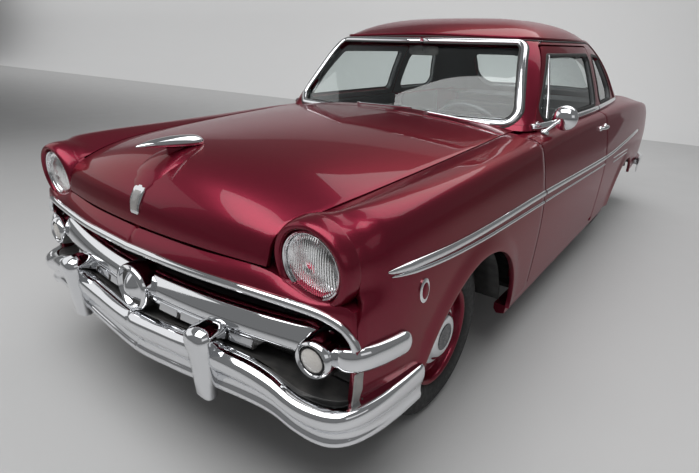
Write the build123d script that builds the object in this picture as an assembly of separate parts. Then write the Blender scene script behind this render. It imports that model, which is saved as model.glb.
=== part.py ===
"""A 1950s two-door sedan: separate body panels on a ladder frame, with opening doors, hood and trunk.

Millimetres. +X is the car's left side, +Y points to its rear and +Z is up. The origin lies on the ground
under the middle of the overall length and width.
"""

import os
from math import asin, cos, degrees, radians, sin, sqrt

from build123d import *

# Overall sizes
LENGTH = 5037
HEIGHT = 1585
HALF_WIDTH = 928
WHEELBASE = 2934
FRONT_OVERHANG = 863
FRONT_TRACK = 1473
REAR_TRACK = 1422

# Wheels and tyres
TYRE_RADIUS = 345
TYRE_WIDTH = 170
BEAD_RADIUS = 194
RIM_WIDTH = 140
DISC_THICKNESS = 6
HUB_RADIUS = 42
HUB_CAP_RADIUS = 128
HUB_CAP_HEIGHT = 46
SPINDLE_RADIUS = 16
SPINDLE_CLEARANCE = 0.05
DRUM_RADIUS = 150
DRUM_WIDTH = 62

# Steering
KINGPIN_X = 655
KINGPIN_RADIUS = 17
LOWER_ARM_Z = 238
UPPER_ARM_Z = 452
ARM_THICKNESS = 26

# Panel thicknesses and gaps
PANEL = 22
PILLAR = 46
SHUT_GAP = 8
SWING_GAP = 9
SEAT_GAP = 0.3
GLASS = 6
GLASS_INSET = 14

# Heights of the main body lines
SILL_Z = 335
ROCKER_Z = 250
FENDER_BOTTOM_Z = 300
NOSE_BOTTOM_Z = 420
BELT_Z = 1045
RAIL_Z = 1432
WIDEST_Z = 700

# Places along the car
FRONT_Y = -LENGTH / 2
REAR_Y = LENGTH / 2
FRONT_AXLE_Y = FRONT_Y + FRONT_OVERHANG
REAR_AXLE_Y = FRONT_AXLE_Y + WHEELBASE
COWL_Y = FRONT_AXLE_Y + 628
DOOR_FRONT_Y = FRONT_AXLE_Y + 725
DOOR_REAR_Y = REAR_AXLE_Y - 900
FENDER_FRONT_Y = FRONT_Y + 190
TAIL_Y = REAR_Y - 112
NOSE_Y = FRONT_Y + 78
NOSE_RADIUS = 3300

# Body side, front to back: place along the car, half width at the sill, widest half width,
# half width and height where the shoulder begins, half width and height of the crown.
SIDE_COLUMNS = ("sill", "widest", "shoulder_x", "shoulder_z", "crown_x", "crown_z")
SIDE = [
    (FENDER_FRONT_Y, HALF_WIDTH - 80, HALF_WIDTH - 46, HALF_WIDTH - 60, 895, HALF_WIDTH - 165, 1000),
    (FRONT_AXLE_Y - 445, HALF_WIDTH - 36, HALF_WIDTH - 13, HALF_WIDTH - 36, 922, HALF_WIDTH - 148, 1014),
    (FRONT_AXLE_Y, HALF_WIDTH - 23, HALF_WIDTH - 2, HALF_WIDTH - 30, 935, HALF_WIDTH - 140, 1022),
    (DOOR_FRONT_Y, HALF_WIDTH - 20, HALF_WIDTH, HALF_WIDTH - 31, 940, HALF_WIDTH - 122, BELT_Z - 8),
    (DOOR_FRONT_Y + 600, HALF_WIDTH - 20, HALF_WIDTH, HALF_WIDTH - 36, 945, HALF_WIDTH - 110, BELT_Z - 2),
    (DOOR_REAR_Y, HALF_WIDTH - 20, HALF_WIDTH, HALF_WIDTH - 36, 948, HALF_WIDTH - 112, BELT_Z - 2),
    (REAR_AXLE_Y, HALF_WIDTH - 23, HALF_WIDTH, HALF_WIDTH - 32, 945, HALF_WIDTH - 128, BELT_Z - 8),
    (TAIL_Y - 608, HALF_WIDTH - 33, HALF_WIDTH - 8, HALF_WIDTH - 36, 925, HALF_WIDTH - 136, BELT_Z - 32),
    (TAIL_Y - 228, HALF_WIDTH - 55, HALF_WIDTH - 26, HALF_WIDTH - 48, 895, HALF_WIDTH - 140, BELT_Z - 70),
    (TAIL_Y, HALF_WIDTH - 85, HALF_WIDTH - 55, HALF_WIDTH - 74, 865, HALF_WIDTH - 150, BELT_Z - 108),
]

# Hood, cowl to grille: place and height of its centre line, lean of the surface in degrees,
# half width, and how far its edges lie below the centre.
HOOD = [
    (COWL_Y, 1106, 0, HALF_WIDTH - 216, 58),
    (FRONT_AXLE_Y + 155, 1104, 2, HALF_WIDTH - 222, 80),
    (FRONT_AXLE_Y - 345, 1082, 5, HALF_WIDTH - 250, 92),
    (FRONT_AXLE_Y - 545, 1056, 14, HALF_WIDTH - 288, 95),
    (FRONT_AXLE_Y - 672, 1004, 44, HALF_WIDTH - 325, 84),
    (FRONT_AXLE_Y - 738, 925, 76, HALF_WIDTH - 342, 62),
    (FRONT_AXLE_Y - 758, 832, 88, HALF_WIDTH - 348, 52),
]

# Deck, rear window to bumper: the same columns, with the lean turned to the rear.
DECK = [
    (REAR_AXLE_Y + 240, BELT_Z + 14, 0, HALF_WIDTH - 228, 16),
    (REAR_AXLE_Y + 600, BELT_Z + 8, -4, HALF_WIDTH - 244, 18),
    (TAIL_Y - 278, BELT_Z - 22, -12, HALF_WIDTH - 264, 24),
    (TAIL_Y - 98, BELT_Z - 82, -32, HALF_WIDTH - 280, 36),
    (TAIL_Y - 18, BELT_Z - 170, -68, HALF_WIDTH - 288, 46),
    (TAIL_Y + 4, 690, -86, HALF_WIDTH - 294, 52),
]
TRUNK_FRONT_Y = REAR_AXLE_Y + 610

# Greenhouse rings, belt to roof: height, half width, narrowing at the windshield, place of the front
# corners, bow of the windshield, front corner radius, narrowing at the back, place of the rear corners,
# bow of the rear window, rear corner radius.
RINGS = [
    (BELT_Z - 4, HALF_WIDTH - 110, 30, COWL_Y + 170, 104, 110, 90, REAR_AXLE_Y + 411, 130, 220),
    (1250, HALF_WIDTH - 176, 28, COWL_Y + 320, 94, 112, 86, REAR_AXLE_Y + 141, 118, 235),
    (RAIL_Z, HALF_WIDTH - 256, 26, COWL_Y + 472, 82, 122, 80, REAR_AXLE_Y - 204, 100, 240),
    (HEIGHT - 63, HALF_WIDTH - 362, 28, COWL_Y + 636, 70, 150, 62, REAR_AXLE_Y - 479, 80, 220),
    (HEIGHT - 15, HALF_WIDTH - 538, 24, COWL_Y + 823, 42, 130, 40, REAR_AXLE_Y - 734, 46, 160),
    (HEIGHT, HALF_WIDTH - 738, 12, COWL_Y + 1018, 20, 80, 18, REAR_AXLE_Y - 969, 22, 90),
]


def line(a, b):
    return Edge.make_line(a, b)


def arc(a, b, c):
    return Edge.make_three_point_arc(a, b, c)


def loft_through(wires):
    return Solid.make_loft(wires)


def loft_straight(wires):
    return Solid.make_loft(wires, ruled=True)


def mirrored(shape):
    return mirror(shape, about=Plane.YZ)


def box(x0, x1, y0, y1, z0, z1):
    size = (x1 - x0, y1 - y0, z1 - z0)
    return Pos(x0, y0, z0) * Box(*size, align=(Align.MIN, Align.MIN, Align.MIN))


def rod(a, b, radius):
    """A round bar from point a to point b."""
    along = Vector(*b) - Vector(*a)
    return Solid.make_cylinder(radius, along.length, Plane(origin=a, z_dir=along))


def prism_x(points, x0, x1, rounding=0):
    """A side view outline of (y, z) points, extruded across the car."""
    wire = Wire.make_polygon([(x0, y, z) for y, z in points])
    return extrude_rounded(wire, (x1 - x0, 0, 0), rounding)


def prism_y(points, y0, y1, rounding=0):
    """A front view outline of (x, z) points, extruded along the car."""
    wire = Wire.make_polygon([(x, y0, z) for x, z in points])
    return extrude_rounded(wire, (0, y1 - y0, 0), rounding)


def extrude_rounded(wire, along, rounding):
    if rounding:
        wire = wire.fillet_2d(rounding, wire.vertices())
    return Solid.extrude(Face(wire), Vector(*along))


def revolved(points, origin, direction):
    """A solid turned from (radius, height along the axis) points."""
    plane = Plane(origin=origin, z_dir=direction)
    profile = Wire.make_polygon([plane.from_local_coords((r, 0, h)) for r, h in points])
    return Solid.revolve(Face(profile), 360, Axis(origin, direction))


def table_at(rows, y):
    """A table's columns at a place along the car, by a smooth cubic through its rows."""
    ys = [row[0] for row in rows]
    i = max(0, min(len(ys) - 2, sum(1 for v in ys if v <= y) - 1))
    span = ys[i + 1] - ys[i]
    u = (y - ys[i]) / span

    def slope(k, column):
        a, b = max(0, k - 1), min(len(ys) - 1, k + 1)
        return (rows[b][column] - rows[a][column]) / (ys[b] - ys[a]) * span

    def value(column):
        p, q = rows[i][column], rows[i + 1][column]
        m, n = slope(i, column), slope(i + 1, column)
        return (
            p * (1 + 2 * u) * (1 - u) ** 2 + m * u * (1 - u) ** 2 + q * u * u * (3 - 2 * u) + n * u * u * (u - 1)
        )

    return [value(c) for c in range(1, len(rows[0]))]


def side_at(y):
    return dict(zip(SIDE_COLUMNS, table_at(SIDE, y)))


def edge_rows(strip):
    """Where a hood or deck strip's left edge runs, as rows of place, half width and height."""
    rows = []
    for y, z, lean, half, sag in strip:
        rows.append((y + sag * sin(radians(lean)), half, z - sag * cos(radians(lean))))
    return sorted(rows)


def even_stations(strip, count):
    """A strip's stations again, spaced evenly along its centre line."""
    rows, run = [], 0
    for i, row in enumerate(strip):
        if i:
            run += sqrt((row[0] - strip[i - 1][0]) ** 2 + (row[1] - strip[i - 1][1]) ** 2)
        rows.append((run, *row))
    return [tuple(table_at(rows, run * k / (count - 1))) for k in range(count)]


HOOD_STATIONS = even_stations(HOOD, 13)
DECK_STATIONS = even_stations(DECK, 9)
HOOD_EDGE = edge_rows(HOOD_STATIONS)
DECK_EDGE = edge_rows(DECK_STATIONS)


def inner_edge(y):
    """Half width and height of a fender's or quarter's upper inner edge."""
    if y < COWL_Y:
        half, height = table_at(HOOD_EDGE, max(y, HOOD_EDGE[1][0]))
        return half + SHUT_GAP, height
    if y > DECK_EDGE[0][0]:
        half, height = table_at(DECK_EDGE, min(y, DECK_EDGE[-2][0]))
        return half + SHUT_GAP, height
    if y < DOOR_FRONT_Y + 1:
        return HOOD_EDGE[-1][1] + SHUT_GAP, HOOD_EDGE[-1][2]
    return DECK_EDGE[0][1] + SHUT_GAP, BELT_Z - 2


def skin_points(y, bottom):
    """The body side's outer line at one place, from its foot over the crown to its inner edge."""
    s = side_at(y)
    inner_x, inner_z = inner_edge(y)
    mid = (
        s["crown_x"] + 0.72 * (s["shoulder_x"] - s["crown_x"]),
        s["shoulder_z"] + 0.74 * (s["crown_z"] - s["shoulder_z"]),
    )
    return {
        "foot": (s["sill"], bottom),
        "widest": (s["widest"], WIDEST_Z),
        "shoulder": (s["shoulder_x"], s["shoulder_z"]),
        "turn": mid,
        "crown": (s["crown_x"], s["crown_z"]),
        "inner": (inner_x, inner_z),
    }


def skin_wire(y, bottom, thickness):
    """A closed section of a side panel: the outer line and the same line moved inwards."""
    p = skin_points(y, bottom)
    shift = {
        "foot": (-thickness, 0),
        "widest": (-thickness, 0),
        "shoulder": (-thickness, -0.3 * thickness),
        "turn": (-0.7 * thickness, -0.7 * thickness),
        "crown": (-0.25 * thickness, -thickness),
        "inner": (0, -thickness),
    }
    out = {k: (x, y, z) for k, (x, z) in p.items()}
    inn = {k: (p[k][0] + dx, y, p[k][1] + dz) for k, (dx, dz) in shift.items()}
    return Wire(
        [
            arc(out["foot"], out["widest"], out["shoulder"]),
            arc(out["shoulder"], out["turn"], out["crown"]),
            line(out["crown"], out["inner"]),
            line(out["inner"], inn["inner"]),
            line(inn["inner"], inn["crown"]),
            arc(inn["crown"], inn["turn"], inn["shoulder"]),
            arc(inn["shoulder"], inn["widest"], inn["foot"]),
            line(inn["foot"], out["foot"]),
        ]
    )


def side_panel(places, bottom, thickness=PANEL):
    return loft_through([skin_wire(y, bottom, thickness) for y in places])


def side_fill(y, bottom):
    """The whole body half inside the outer line at one place."""
    p = {k: (x, y, z) for k, (x, z) in skin_points(y, bottom).items()}
    low = (p["inner"][0], y, bottom)
    return Wire(
        [
            arc(p["foot"], p["widest"], p["shoulder"]),
            arc(p["shoulder"], p["turn"], p["crown"]),
            line(p["crown"], p["inner"]),
            line(p["inner"], low),
            line(low, p["foot"]),
        ]
    )


def strip_wire(station, thickness, narrower=0):
    """A closed section across a hood or deck: an arc over the centre line and the same arc below it."""
    y, z, lean, half, sag = station
    half = half - narrower
    down = Vector(0, sin(radians(lean)), -cos(radians(lean)))
    top = Vector(0, y, z)
    left, right = Vector(half, 0, 0), Vector(-half, 0, 0)
    edge, low = down * sag, down * thickness
    return Wire(
        [
            arc(top + edge + right, top, top + edge + left),
            line(top + edge + left, top + edge + left + low),
            arc(top + edge + left + low, top + low, top + edge + right + low),
            line(top + edge + right + low, top + edge + right),
        ]
    )


def stations_between(strip, y0, y1):
    """A strip's stations cut to run from y0 to y1."""
    inside = [row for row in strip if y0 + 1 < row[0] < y1 - 1]
    first = [(y0, *table_at(strip, y0))]
    last = [(y1, *table_at(strip, y1))]
    return first + inside + last


def ring_wire(row, inset=0):
    """A level section of the greenhouse: bowed glass fronts and sides joined by corner arcs."""
    z, half, front_in, front, front_bow, front_r, rear_in, rear, rear_bow, rear_r = row
    half, front, rear = half - inset, front + inset, rear - inset
    xf, xr = half - front_in, half - rear_in
    c = 1 - sqrt(0.5)
    fl, fs = (xf - front_r, front, z), (xf, front + front_r, z)
    fm = (xf - c * front_r, front + c * front_r, z)
    rs, rl = (xr, rear - rear_r, z), (xr - rear_r, rear, z)
    rm = (xr - c * rear_r, rear - c * rear_r, z)

    def other(p):
        return (-p[0], p[1], p[2])

    middle = (half, (front + rear) / 2, z)
    return Wire(
        [
            arc(other(fl), (0, front - front_bow, z), fl),
            arc(fl, fm, fs),
            arc(fs, middle, rs),
            arc(rs, rm, rl),
            arc(rl, (0, rear + rear_bow, z), other(rl)),
            arc(other(rl), other(rm), other(rs)),
            arc(other(rs), other(middle), other(fs)),
            arc(other(fs), other(fm), other(fl)),
        ]
    )


def greenhouse(inset=0):
    """The solid inside the greenhouse skin moved inwards by inset."""
    rows = []
    for i, row in enumerate(RINGS):
        z = row[0] if i == 0 else row[0] - inset * (0.25 if row[0] <= RAIL_Z else 1)
        rows.append((z, *row[1:]))
    return loft_through([ring_wire(row, inset) for row in rows])


def nose_band(x0, x1, z0, z1, front, depth):
    """An upright band that follows the bowed front of the car."""
    centre_y = front + NOSE_RADIUS
    outer = Pos(0, centre_y, z0) * Cylinder(NOSE_RADIUS, z1 - z0, align=(Align.CENTER, Align.CENTER, Align.MIN))
    inner = Pos(0, centre_y, z0 - 1) * Cylinder(
        NOSE_RADIUS - depth, z1 - z0 + 2, align=(Align.CENTER, Align.CENTER, Align.MIN)
    )
    window = box(x0, x1, front - 10, front + 400, z0, z1)
    return (window & outer) - inner


def nose_y(x, front):
    """Place along the car of the bowed front at a distance from the centre line."""
    return front + NOSE_RADIUS - sqrt(NOSE_RADIUS**2 - x * x)


def bowed_bar(profile, half_length, front):
    """A bar whose (depth, height) profile follows the bowed front of the car."""
    axis_y = front + NOSE_RADIUS
    angle = degrees(asin(half_length / NOSE_RADIUS))
    wire = Wire.make_polygon([(0, front + d, z) for d, z in profile])
    turned = Solid.revolve(Face(wire), 2 * angle, Axis((0, axis_y, 0), (0, 0, 1)))
    return turned.rotate(Axis((0, axis_y, 0), (0, 0, 1)), -angle)


# Wheel arches
FRONT_ARCH_RADIUS = 450
FRONT_ARCH_Z = 228
REAR_ARCH_RADIUS = 415
REAR_ARCH_Z = 190
ARCH_REACH = 1200


def arch_cutter(y, z, radius):
    return rod((300, y, z), (ARCH_REACH, y, z), radius) + box(
        300, ARCH_REACH, y - radius + 8, y + radius - 8, -200, z
    )


# Headlamps
LAMP_X = HALF_WIDTH - 204
LAMP_Z = 864
LAMP_WALL_Y = FENDER_FRONT_Y + 32
BEZEL_RADIUS = 137
BEZEL_FRONT_RADIUS = 118
BEZEL_LENGTH = 53
BEZEL_LIP = 2
LENS_RADIUS = 96
LENS_RECESS = 12

# Painted lip between the hood and the grille: its foot, its top and how far the top leans back
LIP_FOOT_Z = 764
LIP_TOP_Z = HOOD[-1][1] - SHUT_GAP - 4
LIP_FRONT_Y = NOSE_Y - 10
LIP_LEAN = 40
LIP_DEPTH = 66
LIP_END_X = HALF_WIDTH - 60


def lip_band(depth):
    profile = [(0, LIP_FOOT_Z), (LIP_LEAN, LIP_TOP_Z), (depth, LIP_TOP_Z), (depth, LIP_FOOT_Z)]
    return bowed_bar(profile, LIP_END_X + 60, LIP_FRONT_Y)


# Door hinges: their axis stands in the shut line at the skin, with a pin at each height
DOOR_HINGE_X = HALF_WIDTH + 1
DOOR_HINGE_Y = DOOR_FRONT_Y - 4
DOOR_HINGE_Z = (WIDEST_Z - 110, WIDEST_Z + 90)
PIN_RADIUS = 3
PIN_CLEARANCE = 0.25
EAR_RADIUS = 6.5
EAR_HALF = 18
TAB = 7
PIN_ROOM = 5


def door_hinge(z):
    """An upright hinge in the front shut line: pin with tabs, ear, and the rooms they turn in."""
    x, y = DOOR_HINGE_X, DOOR_HINGE_Y
    end = EAR_HALF + PIN_ROOM + TAB
    pin = rod((x, y, z - end), (x, y, z + end), PIN_RADIUS)
    tab_room = None
    for low in (z - end, z + end - TAB):
        pin += box(x - 14, x + PIN_RADIUS, y - 26, y + PIN_RADIUS, low, low + TAB)
        room = box(x - 60, x + 40, y, y + PIN_RADIUS + 14, low - PIN_ROOM, low + TAB + PIN_ROOM)
        tab_room = room if tab_room is None else tab_room + room
    ear = rod((x, y, z - EAR_HALF), (x, y, z + EAR_HALF), EAR_RADIUS)
    ear += box(x - 13, x - 3, y, y + 30, z - EAR_HALF, z + EAR_HALF)
    ear -= rod((x, y, z - end), (x, y, z + end), PIN_RADIUS + PIN_CLEARANCE)
    reach = EAR_RADIUS + PIN_ROOM + 1
    ear_room = box(x - 60, x + 40, y - reach, y, z - EAR_HALF - PIN_ROOM, z + EAR_HALF + PIN_ROOM)
    return pin, ear, ear_room, tab_room


def front_fender():
    places = [FENDER_FRONT_Y, FRONT_AXLE_Y - 445, FRONT_AXLE_Y, FRONT_AXLE_Y + 400, DOOR_FRONT_Y - SWING_GAP]
    skin = side_panel(places, FENDER_BOTTOM_Z)
    skin -= box(0, ARCH_REACH, FRONT_Y, LAMP_WALL_Y, LIP_TOP_Z, HEIGHT)
    face = side_fill(LAMP_WALL_Y, FENDER_BOTTOM_Z)
    front_wall = Solid.extrude(Face(face), Vector(0, PANEL, 0))
    front_wall -= box(0, ARCH_REACH, FRONT_Y, 0, 0, LIP_FOOT_Z)
    inner_x = inner_edge(LAMP_WALL_Y)[0]
    depth = LAMP_WALL_Y + PANEL - nose_y(inner_x, LIP_FRONT_Y)
    lip = lip_band(depth) & box(inner_x, LIP_END_X, FRONT_Y, LAMP_WALL_Y + PANEL, 0, HEIGHT)
    panel = skin + front_wall + lip
    bezel_front = LAMP_WALL_Y - BEZEL_LENGTH - BEZEL_LIP - SEAT_GAP
    panel -= rod((LAMP_X, bezel_front, LAMP_Z), (LAMP_X, LAMP_WALL_Y + 2 * PANEL, LAMP_Z), LENS_RADIUS + 6)
    panel -= rod((LAMP_X, bezel_front, LAMP_Z), (LAMP_X, LAMP_WALL_Y, LAMP_Z), BEZEL_RADIUS + SEAT_GAP)
    panel -= arch_cutter(FRONT_AXLE_Y + 8, FRONT_ARCH_Z, FRONT_ARCH_RADIUS)
    panel -= box(300, ARCH_REACH, FRONT_Y, FRONT_AXLE_Y, 0, NOSE_BOTTOM_Z)
    for z in DOOR_HINGE_Z:
        pin, _, ear_room, _ = door_hinge(z)
        panel = panel - ear_room + pin
    return panel


def headlamp_bezel():
    back = LAMP_WALL_Y - SEAT_GAP
    points = [
        (LENS_RADIUS + 7, 0),
        (BEZEL_RADIUS, 0),
        (BEZEL_FRONT_RADIUS, BEZEL_LENGTH),
        (BEZEL_FRONT_RADIUS - 6, BEZEL_LENGTH + BEZEL_LIP),
        (LENS_RADIUS + 7, BEZEL_LENGTH - LENS_RECESS),
    ]
    return revolved(points, (LAMP_X, back, LAMP_Z), (0, -1, 0))


def headlamp_lens():
    back = LAMP_WALL_Y - SEAT_GAP
    reach = BEZEL_LENGTH - LENS_RECESS
    points = [
        (0, 10),
        (LENS_RADIUS + 6.7, 10),
        (LENS_RADIUS + 6.7, reach - 12),
        (LENS_RADIUS, reach - 6),
        (LENS_RADIUS * 0.62, reach + 8),
        (0, reach + 14),
    ]
    return revolved(points, (LAMP_X, back, LAMP_Z), (0, -1, 0))


def hood():
    lid = loft_through([strip_wire(row, PANEL) for row in HOOD_STATIONS])
    for x in HOOD_HINGE[0]:
        lid += gap_hinge(x, *HOOD_HINGE[1:], 1)[1]
    return lid


def hood_ornament(hood_solid):
    """A slim dart that stands on the hood's nose."""
    y0, y1 = FRONT_AXLE_Y - 700, FRONT_AXLE_Y - 440
    z = 1068
    wires = []
    for y, half, low, high in (
        (y0, 4, z - 2, z + 10),
        (y0 + 90, 26, z - 6, z + 26),
        (y1 - 60, 34, z + 4, z + 36),
        (y1, 10, z + 18, z + 34),
    ):
        mid = (low + high) / 2
        wires.append(
            Wire(
                [
                    arc((half, y, mid), (0, y, high), (-half, y, mid)),
                    arc((-half, y, mid), (0, y, low), (half, y, mid)),
                ]
            )
        )
    dart = loft_through(wires) + box(-9, 9, y0 + 110, y1 - 70, z - 60, z + 12)
    above = dart - hood_solid.moved(Location((0, 0, SEAT_GAP)))
    return above.solids().sort_by(Axis.Z)[-1]


def gap_hinge(x, y, z, toward_body):
    """A hinge in a shut line: the pin with its two tabs, and the ear that turns on it."""
    pin = rod((x - EAR_HALF - 12, y, z), (x + EAR_HALF + 12, y, z), PIN_RADIUS)
    for side in (1, -1):
        edge = sorted((x + side * (EAR_HALF + 5), x + side * (EAR_HALF + 12)))
        span = sorted((y, y + toward_body * 24))
        pin += box(*edge, *span, z - 12, z + PIN_RADIUS)
    ear = rod((x - EAR_HALF, y, z), (x + EAR_HALF, y, z), EAR_RADIUS)
    span = sorted((y, y - toward_body * 24))
    ear += box(x - EAR_HALF, x + EAR_HALF, *span, z - 12, z - 2)
    ear -= rod((x - EAR_HALF - 1, y, z), (x + EAR_HALF + 1, y, z), PIN_RADIUS + PIN_CLEARANCE)
    span = sorted((y - toward_body * 2, y + toward_body * (EAR_RADIUS + 5)))
    notch = box(x - EAR_HALF - 5, x + EAR_HALF + 5, *span, z - 40, z + 40)
    return pin, ear, notch


HOOD_HINGE = ((-160, 160), COWL_Y + SHUT_GAP / 2, 1103)
TRUNK_HINGE = ((-300, 300), TRUNK_FRONT_Y - SHUT_GAP / 2, BELT_Z + 4)


def cowl(cabin):
    rows = [
        (COWL_Y + SHUT_GAP, 1106, 0, HALF_WIDTH - 216, 58),
        (COWL_Y + 140, 1108, 0, HALF_WIDTH - 223, 62),
        (COWL_Y + 300, 1108, 0, HALF_WIDTH - 228, 64),
    ]
    top = loft_through([strip_wire(row, PANEL) for row in rows])
    top -= cabin
    for x in HOOD_HINGE[0]:
        pin, _, notch = gap_hinge(x, *HOOD_HINGE[1:], 1)
        top = top - notch + pin
    wall_x = HALF_WIDTH - 238
    firewall = box(-wall_x, wall_x, COWL_Y + 30, COWL_Y + 50, FLOOR_Z + FLOOR_PLATE + SEAT_GAP, 1030)
    firewall -= box(-TUNNEL_HALF - 21, TUNNEL_HALF + 21, COWL_Y, 0, 0, TUNNEL_TOP_Z + FLOOR_PLATE + SEAT_GAP)
    return top + firewall


# Floor, frame and drive line
FLOOR_Z = 306
FLOOR_PLATE = 18
TUNNEL_TOP_Z = 470
TUNNEL_HALF = 135
REAR_FLOOR_Z = 528
TRUNK_FLOOR_Z = 466
HEEL_Y = REAR_AXLE_Y - 330
TRUNK_Y = REAR_AXLE_Y + 330
FLOOR_HALF = HALF_WIDTH - 86
REAR_FLOOR_HALF = HALF_WIDTH - 330
WHEELHOUSE_REACH = HALF_WIDTH - 48
WHEELHOUSE_RADIUS = 395
RAIL_X = 352
RAIL_WIDTH = 68
RAIL_LOW_Z = 205
RAIL_TOP_Z = 300
RAIL_FRONT_Z = 475

# Raised flat pads pressed into the floor: half width or span across, span along the car
PAD_HEIGHT = 6
BOOT_PAD_HALF = 200
BOOT_PAD_Y = (TRUNK_Y + 240, TRUNK_Y + 490)
FOOT_PAD_X = (300, 600)
FOOT_PAD_Y = (COWL_Y + 330, COWL_Y + 610)


def floor_pan():
    front = COWL_Y + 30
    t = FLOOR_PLATE
    outline = [
        (-FLOOR_HALF, FLOOR_Z),
        (-TUNNEL_HALF - 20, FLOOR_Z),
        (-TUNNEL_HALF + 20, TUNNEL_TOP_Z),
        (TUNNEL_HALF - 20, TUNNEL_TOP_Z),
        (TUNNEL_HALF + 20, FLOOR_Z),
        (FLOOR_HALF, FLOOR_Z),
    ]
    upper = [(x, z + t) for x, z in reversed(outline)]
    pan = prism_y(outline + upper, front, HEEL_Y)
    heel = box(-REAR_FLOOR_HALF, REAR_FLOOR_HALF, HEEL_Y - t, HEEL_Y, FLOOR_Z + 1, REAR_FLOOR_Z + t)
    heel -= box(-TUNNEL_HALF - 20, TUNNEL_HALF + 20, HEEL_Y - 60, HEEL_Y + 60, 0, TUNNEL_TOP_Z)
    rear = box(-REAR_FLOOR_HALF, REAR_FLOOR_HALF, HEEL_Y - t, TRUNK_Y, REAR_FLOOR_Z, REAR_FLOOR_Z + t)
    step = box(-REAR_FLOOR_HALF, REAR_FLOOR_HALF, TRUNK_Y - t, TRUNK_Y, TRUNK_FLOOR_Z, REAR_FLOOR_Z + t)
    boot_end = TAIL_Y - PANEL - SEAT_GAP
    boot = box(-REAR_FLOOR_HALF, REAR_FLOOR_HALF, TRUNK_Y - t, boot_end, TRUNK_FLOOR_Z, TRUNK_FLOOR_Z + t)
    whole = pan + heel + rear + step + boot
    for side in (1, -1):
        wall = (side * REAR_FLOOR_HALF, REAR_AXLE_Y, TYRE_RADIUS)
        inner = (side * (REAR_FLOOR_HALF + 14), REAR_AXLE_Y, TYRE_RADIUS)
        mouth = (side * WHEELHOUSE_REACH, REAR_AXLE_Y, TYRE_RADIUS)
        whole -= rod(wall, mouth, WHEELHOUSE_RADIUS)
        house = rod(wall, mouth, WHEELHOUSE_RADIUS) - rod(inner, mouth, WHEELHOUSE_RADIUS - 12)
        house -= box(-HALF_WIDTH, HALF_WIDTH, 0, REAR_Y, -200, TRUNK_FLOOR_Z)
        whole += house
    whole += box(-BOOT_PAD_HALF, BOOT_PAD_HALF, *BOOT_PAD_Y, TRUNK_FLOOR_Z + 1, TRUNK_FLOOR_Z + t + PAD_HEIGHT)
    foot_pad = box(*FOOT_PAD_X, *FOOT_PAD_Y, FLOOR_Z + 1, FLOOR_Z + t + PAD_HEIGHT)
    return whole + foot_pad + mirrored(foot_pad)


def rocker_panel():
    y0, y1 = FRONT_AXLE_Y + 480, REAR_AXLE_Y - 440
    points = [
        (FLOOR_HALF + SEAT_GAP, ROCKER_Z + 20),
        (HALF_WIDTH - 70, ROCKER_Z),
        (HALF_WIDTH - 34, ROCKER_Z + 8),
        (HALF_WIDTH - 26, SILL_Z - SWING_GAP),
        (FLOOR_HALF + SEAT_GAP, SILL_Z - SWING_GAP),
    ]
    sill = prism_y(points, y0, y1)
    return sill - side_clear()


def side_clear():
    """Room for the feet of the fender and the quarter panel, which end in front of and behind the door."""
    front = box(700, ARCH_REACH, FRONT_Y, DOOR_FRONT_Y - 2, FENDER_BOTTOM_Z - SEAT_GAP, 500)
    rear = box(700, ARCH_REACH, DOOR_REAR_Y + 2, REAR_Y, FENDER_BOTTOM_Z - SEAT_GAP, 500)
    return front + rear


def chassis_frame():
    y_front, y_rear = FRONT_Y + 150, REAR_Y - 150
    kick = 150
    low = [
        (y_front, RAIL_FRONT_Z - RAIL_TOP_Z + RAIL_LOW_Z),
        (FRONT_AXLE_Y - 420, 330),
        (FRONT_AXLE_Y + 520, RAIL_LOW_Z),
        (REAR_AXLE_Y - 322, RAIL_LOW_Z),
        (REAR_AXLE_Y - 120, RAIL_LOW_Z + 225),
        (REAR_AXLE_Y + 150, RAIL_LOW_Z + 225),
        (REAR_AXLE_Y + 305, RAIL_LOW_Z + kick),
        (y_rear, RAIL_LOW_Z + kick),
    ]
    deep = RAIL_TOP_Z - RAIL_LOW_Z
    high = [(y, z + deep) for y, z in reversed(low)]
    rail = prism_x(low + high, RAIL_X, RAIL_X + RAIL_WIDTH)
    frame = rail + mirrored(rail)
    for y, z in ((FRONT_AXLE_Y + 900, 262), (FRONT_AXLE_Y + 1500, 262), (REAR_AXLE_Y - 700, 262)):
        frame += box(-RAIL_X, RAIL_X, y, y + 70, z, RAIL_TOP_Z)
    rear_beam = REAR_AXLE_Y + 330
    frame += box(-RAIL_X, RAIL_X, rear_beam, rear_beam + 50, RAIL_LOW_Z + kick + 60, RAIL_LOW_Z + kick + deep)
    return frame


def engine_block():
    block = box(-215, 215, FRONT_AXLE_Y - 330, FRONT_AXLE_Y + 330, 330, 905)
    gearbox = rod((0, FRONT_AXLE_Y + 325, 395), (0, FRONT_AXLE_Y + 1010, 385), 62)
    return block + gearbox


def radiator_support():
    """The radiator in its upright frame, with the side aprons that line the engine bay."""
    y = FRONT_AXLE_Y - 520
    half = HALF_WIDTH - 368
    panel = box(-half, half, y, y + 20, 443, 930)
    panel -= box(-300, 300, y - 5, y + 30, 470, 890)
    core = box(-300, 300, y - 20, y + 60, 470, 890)
    apron = box(440, 458, y, COWL_Y - 6, 620, 930)
    return panel + core + apron + mirrored(apron)


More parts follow.
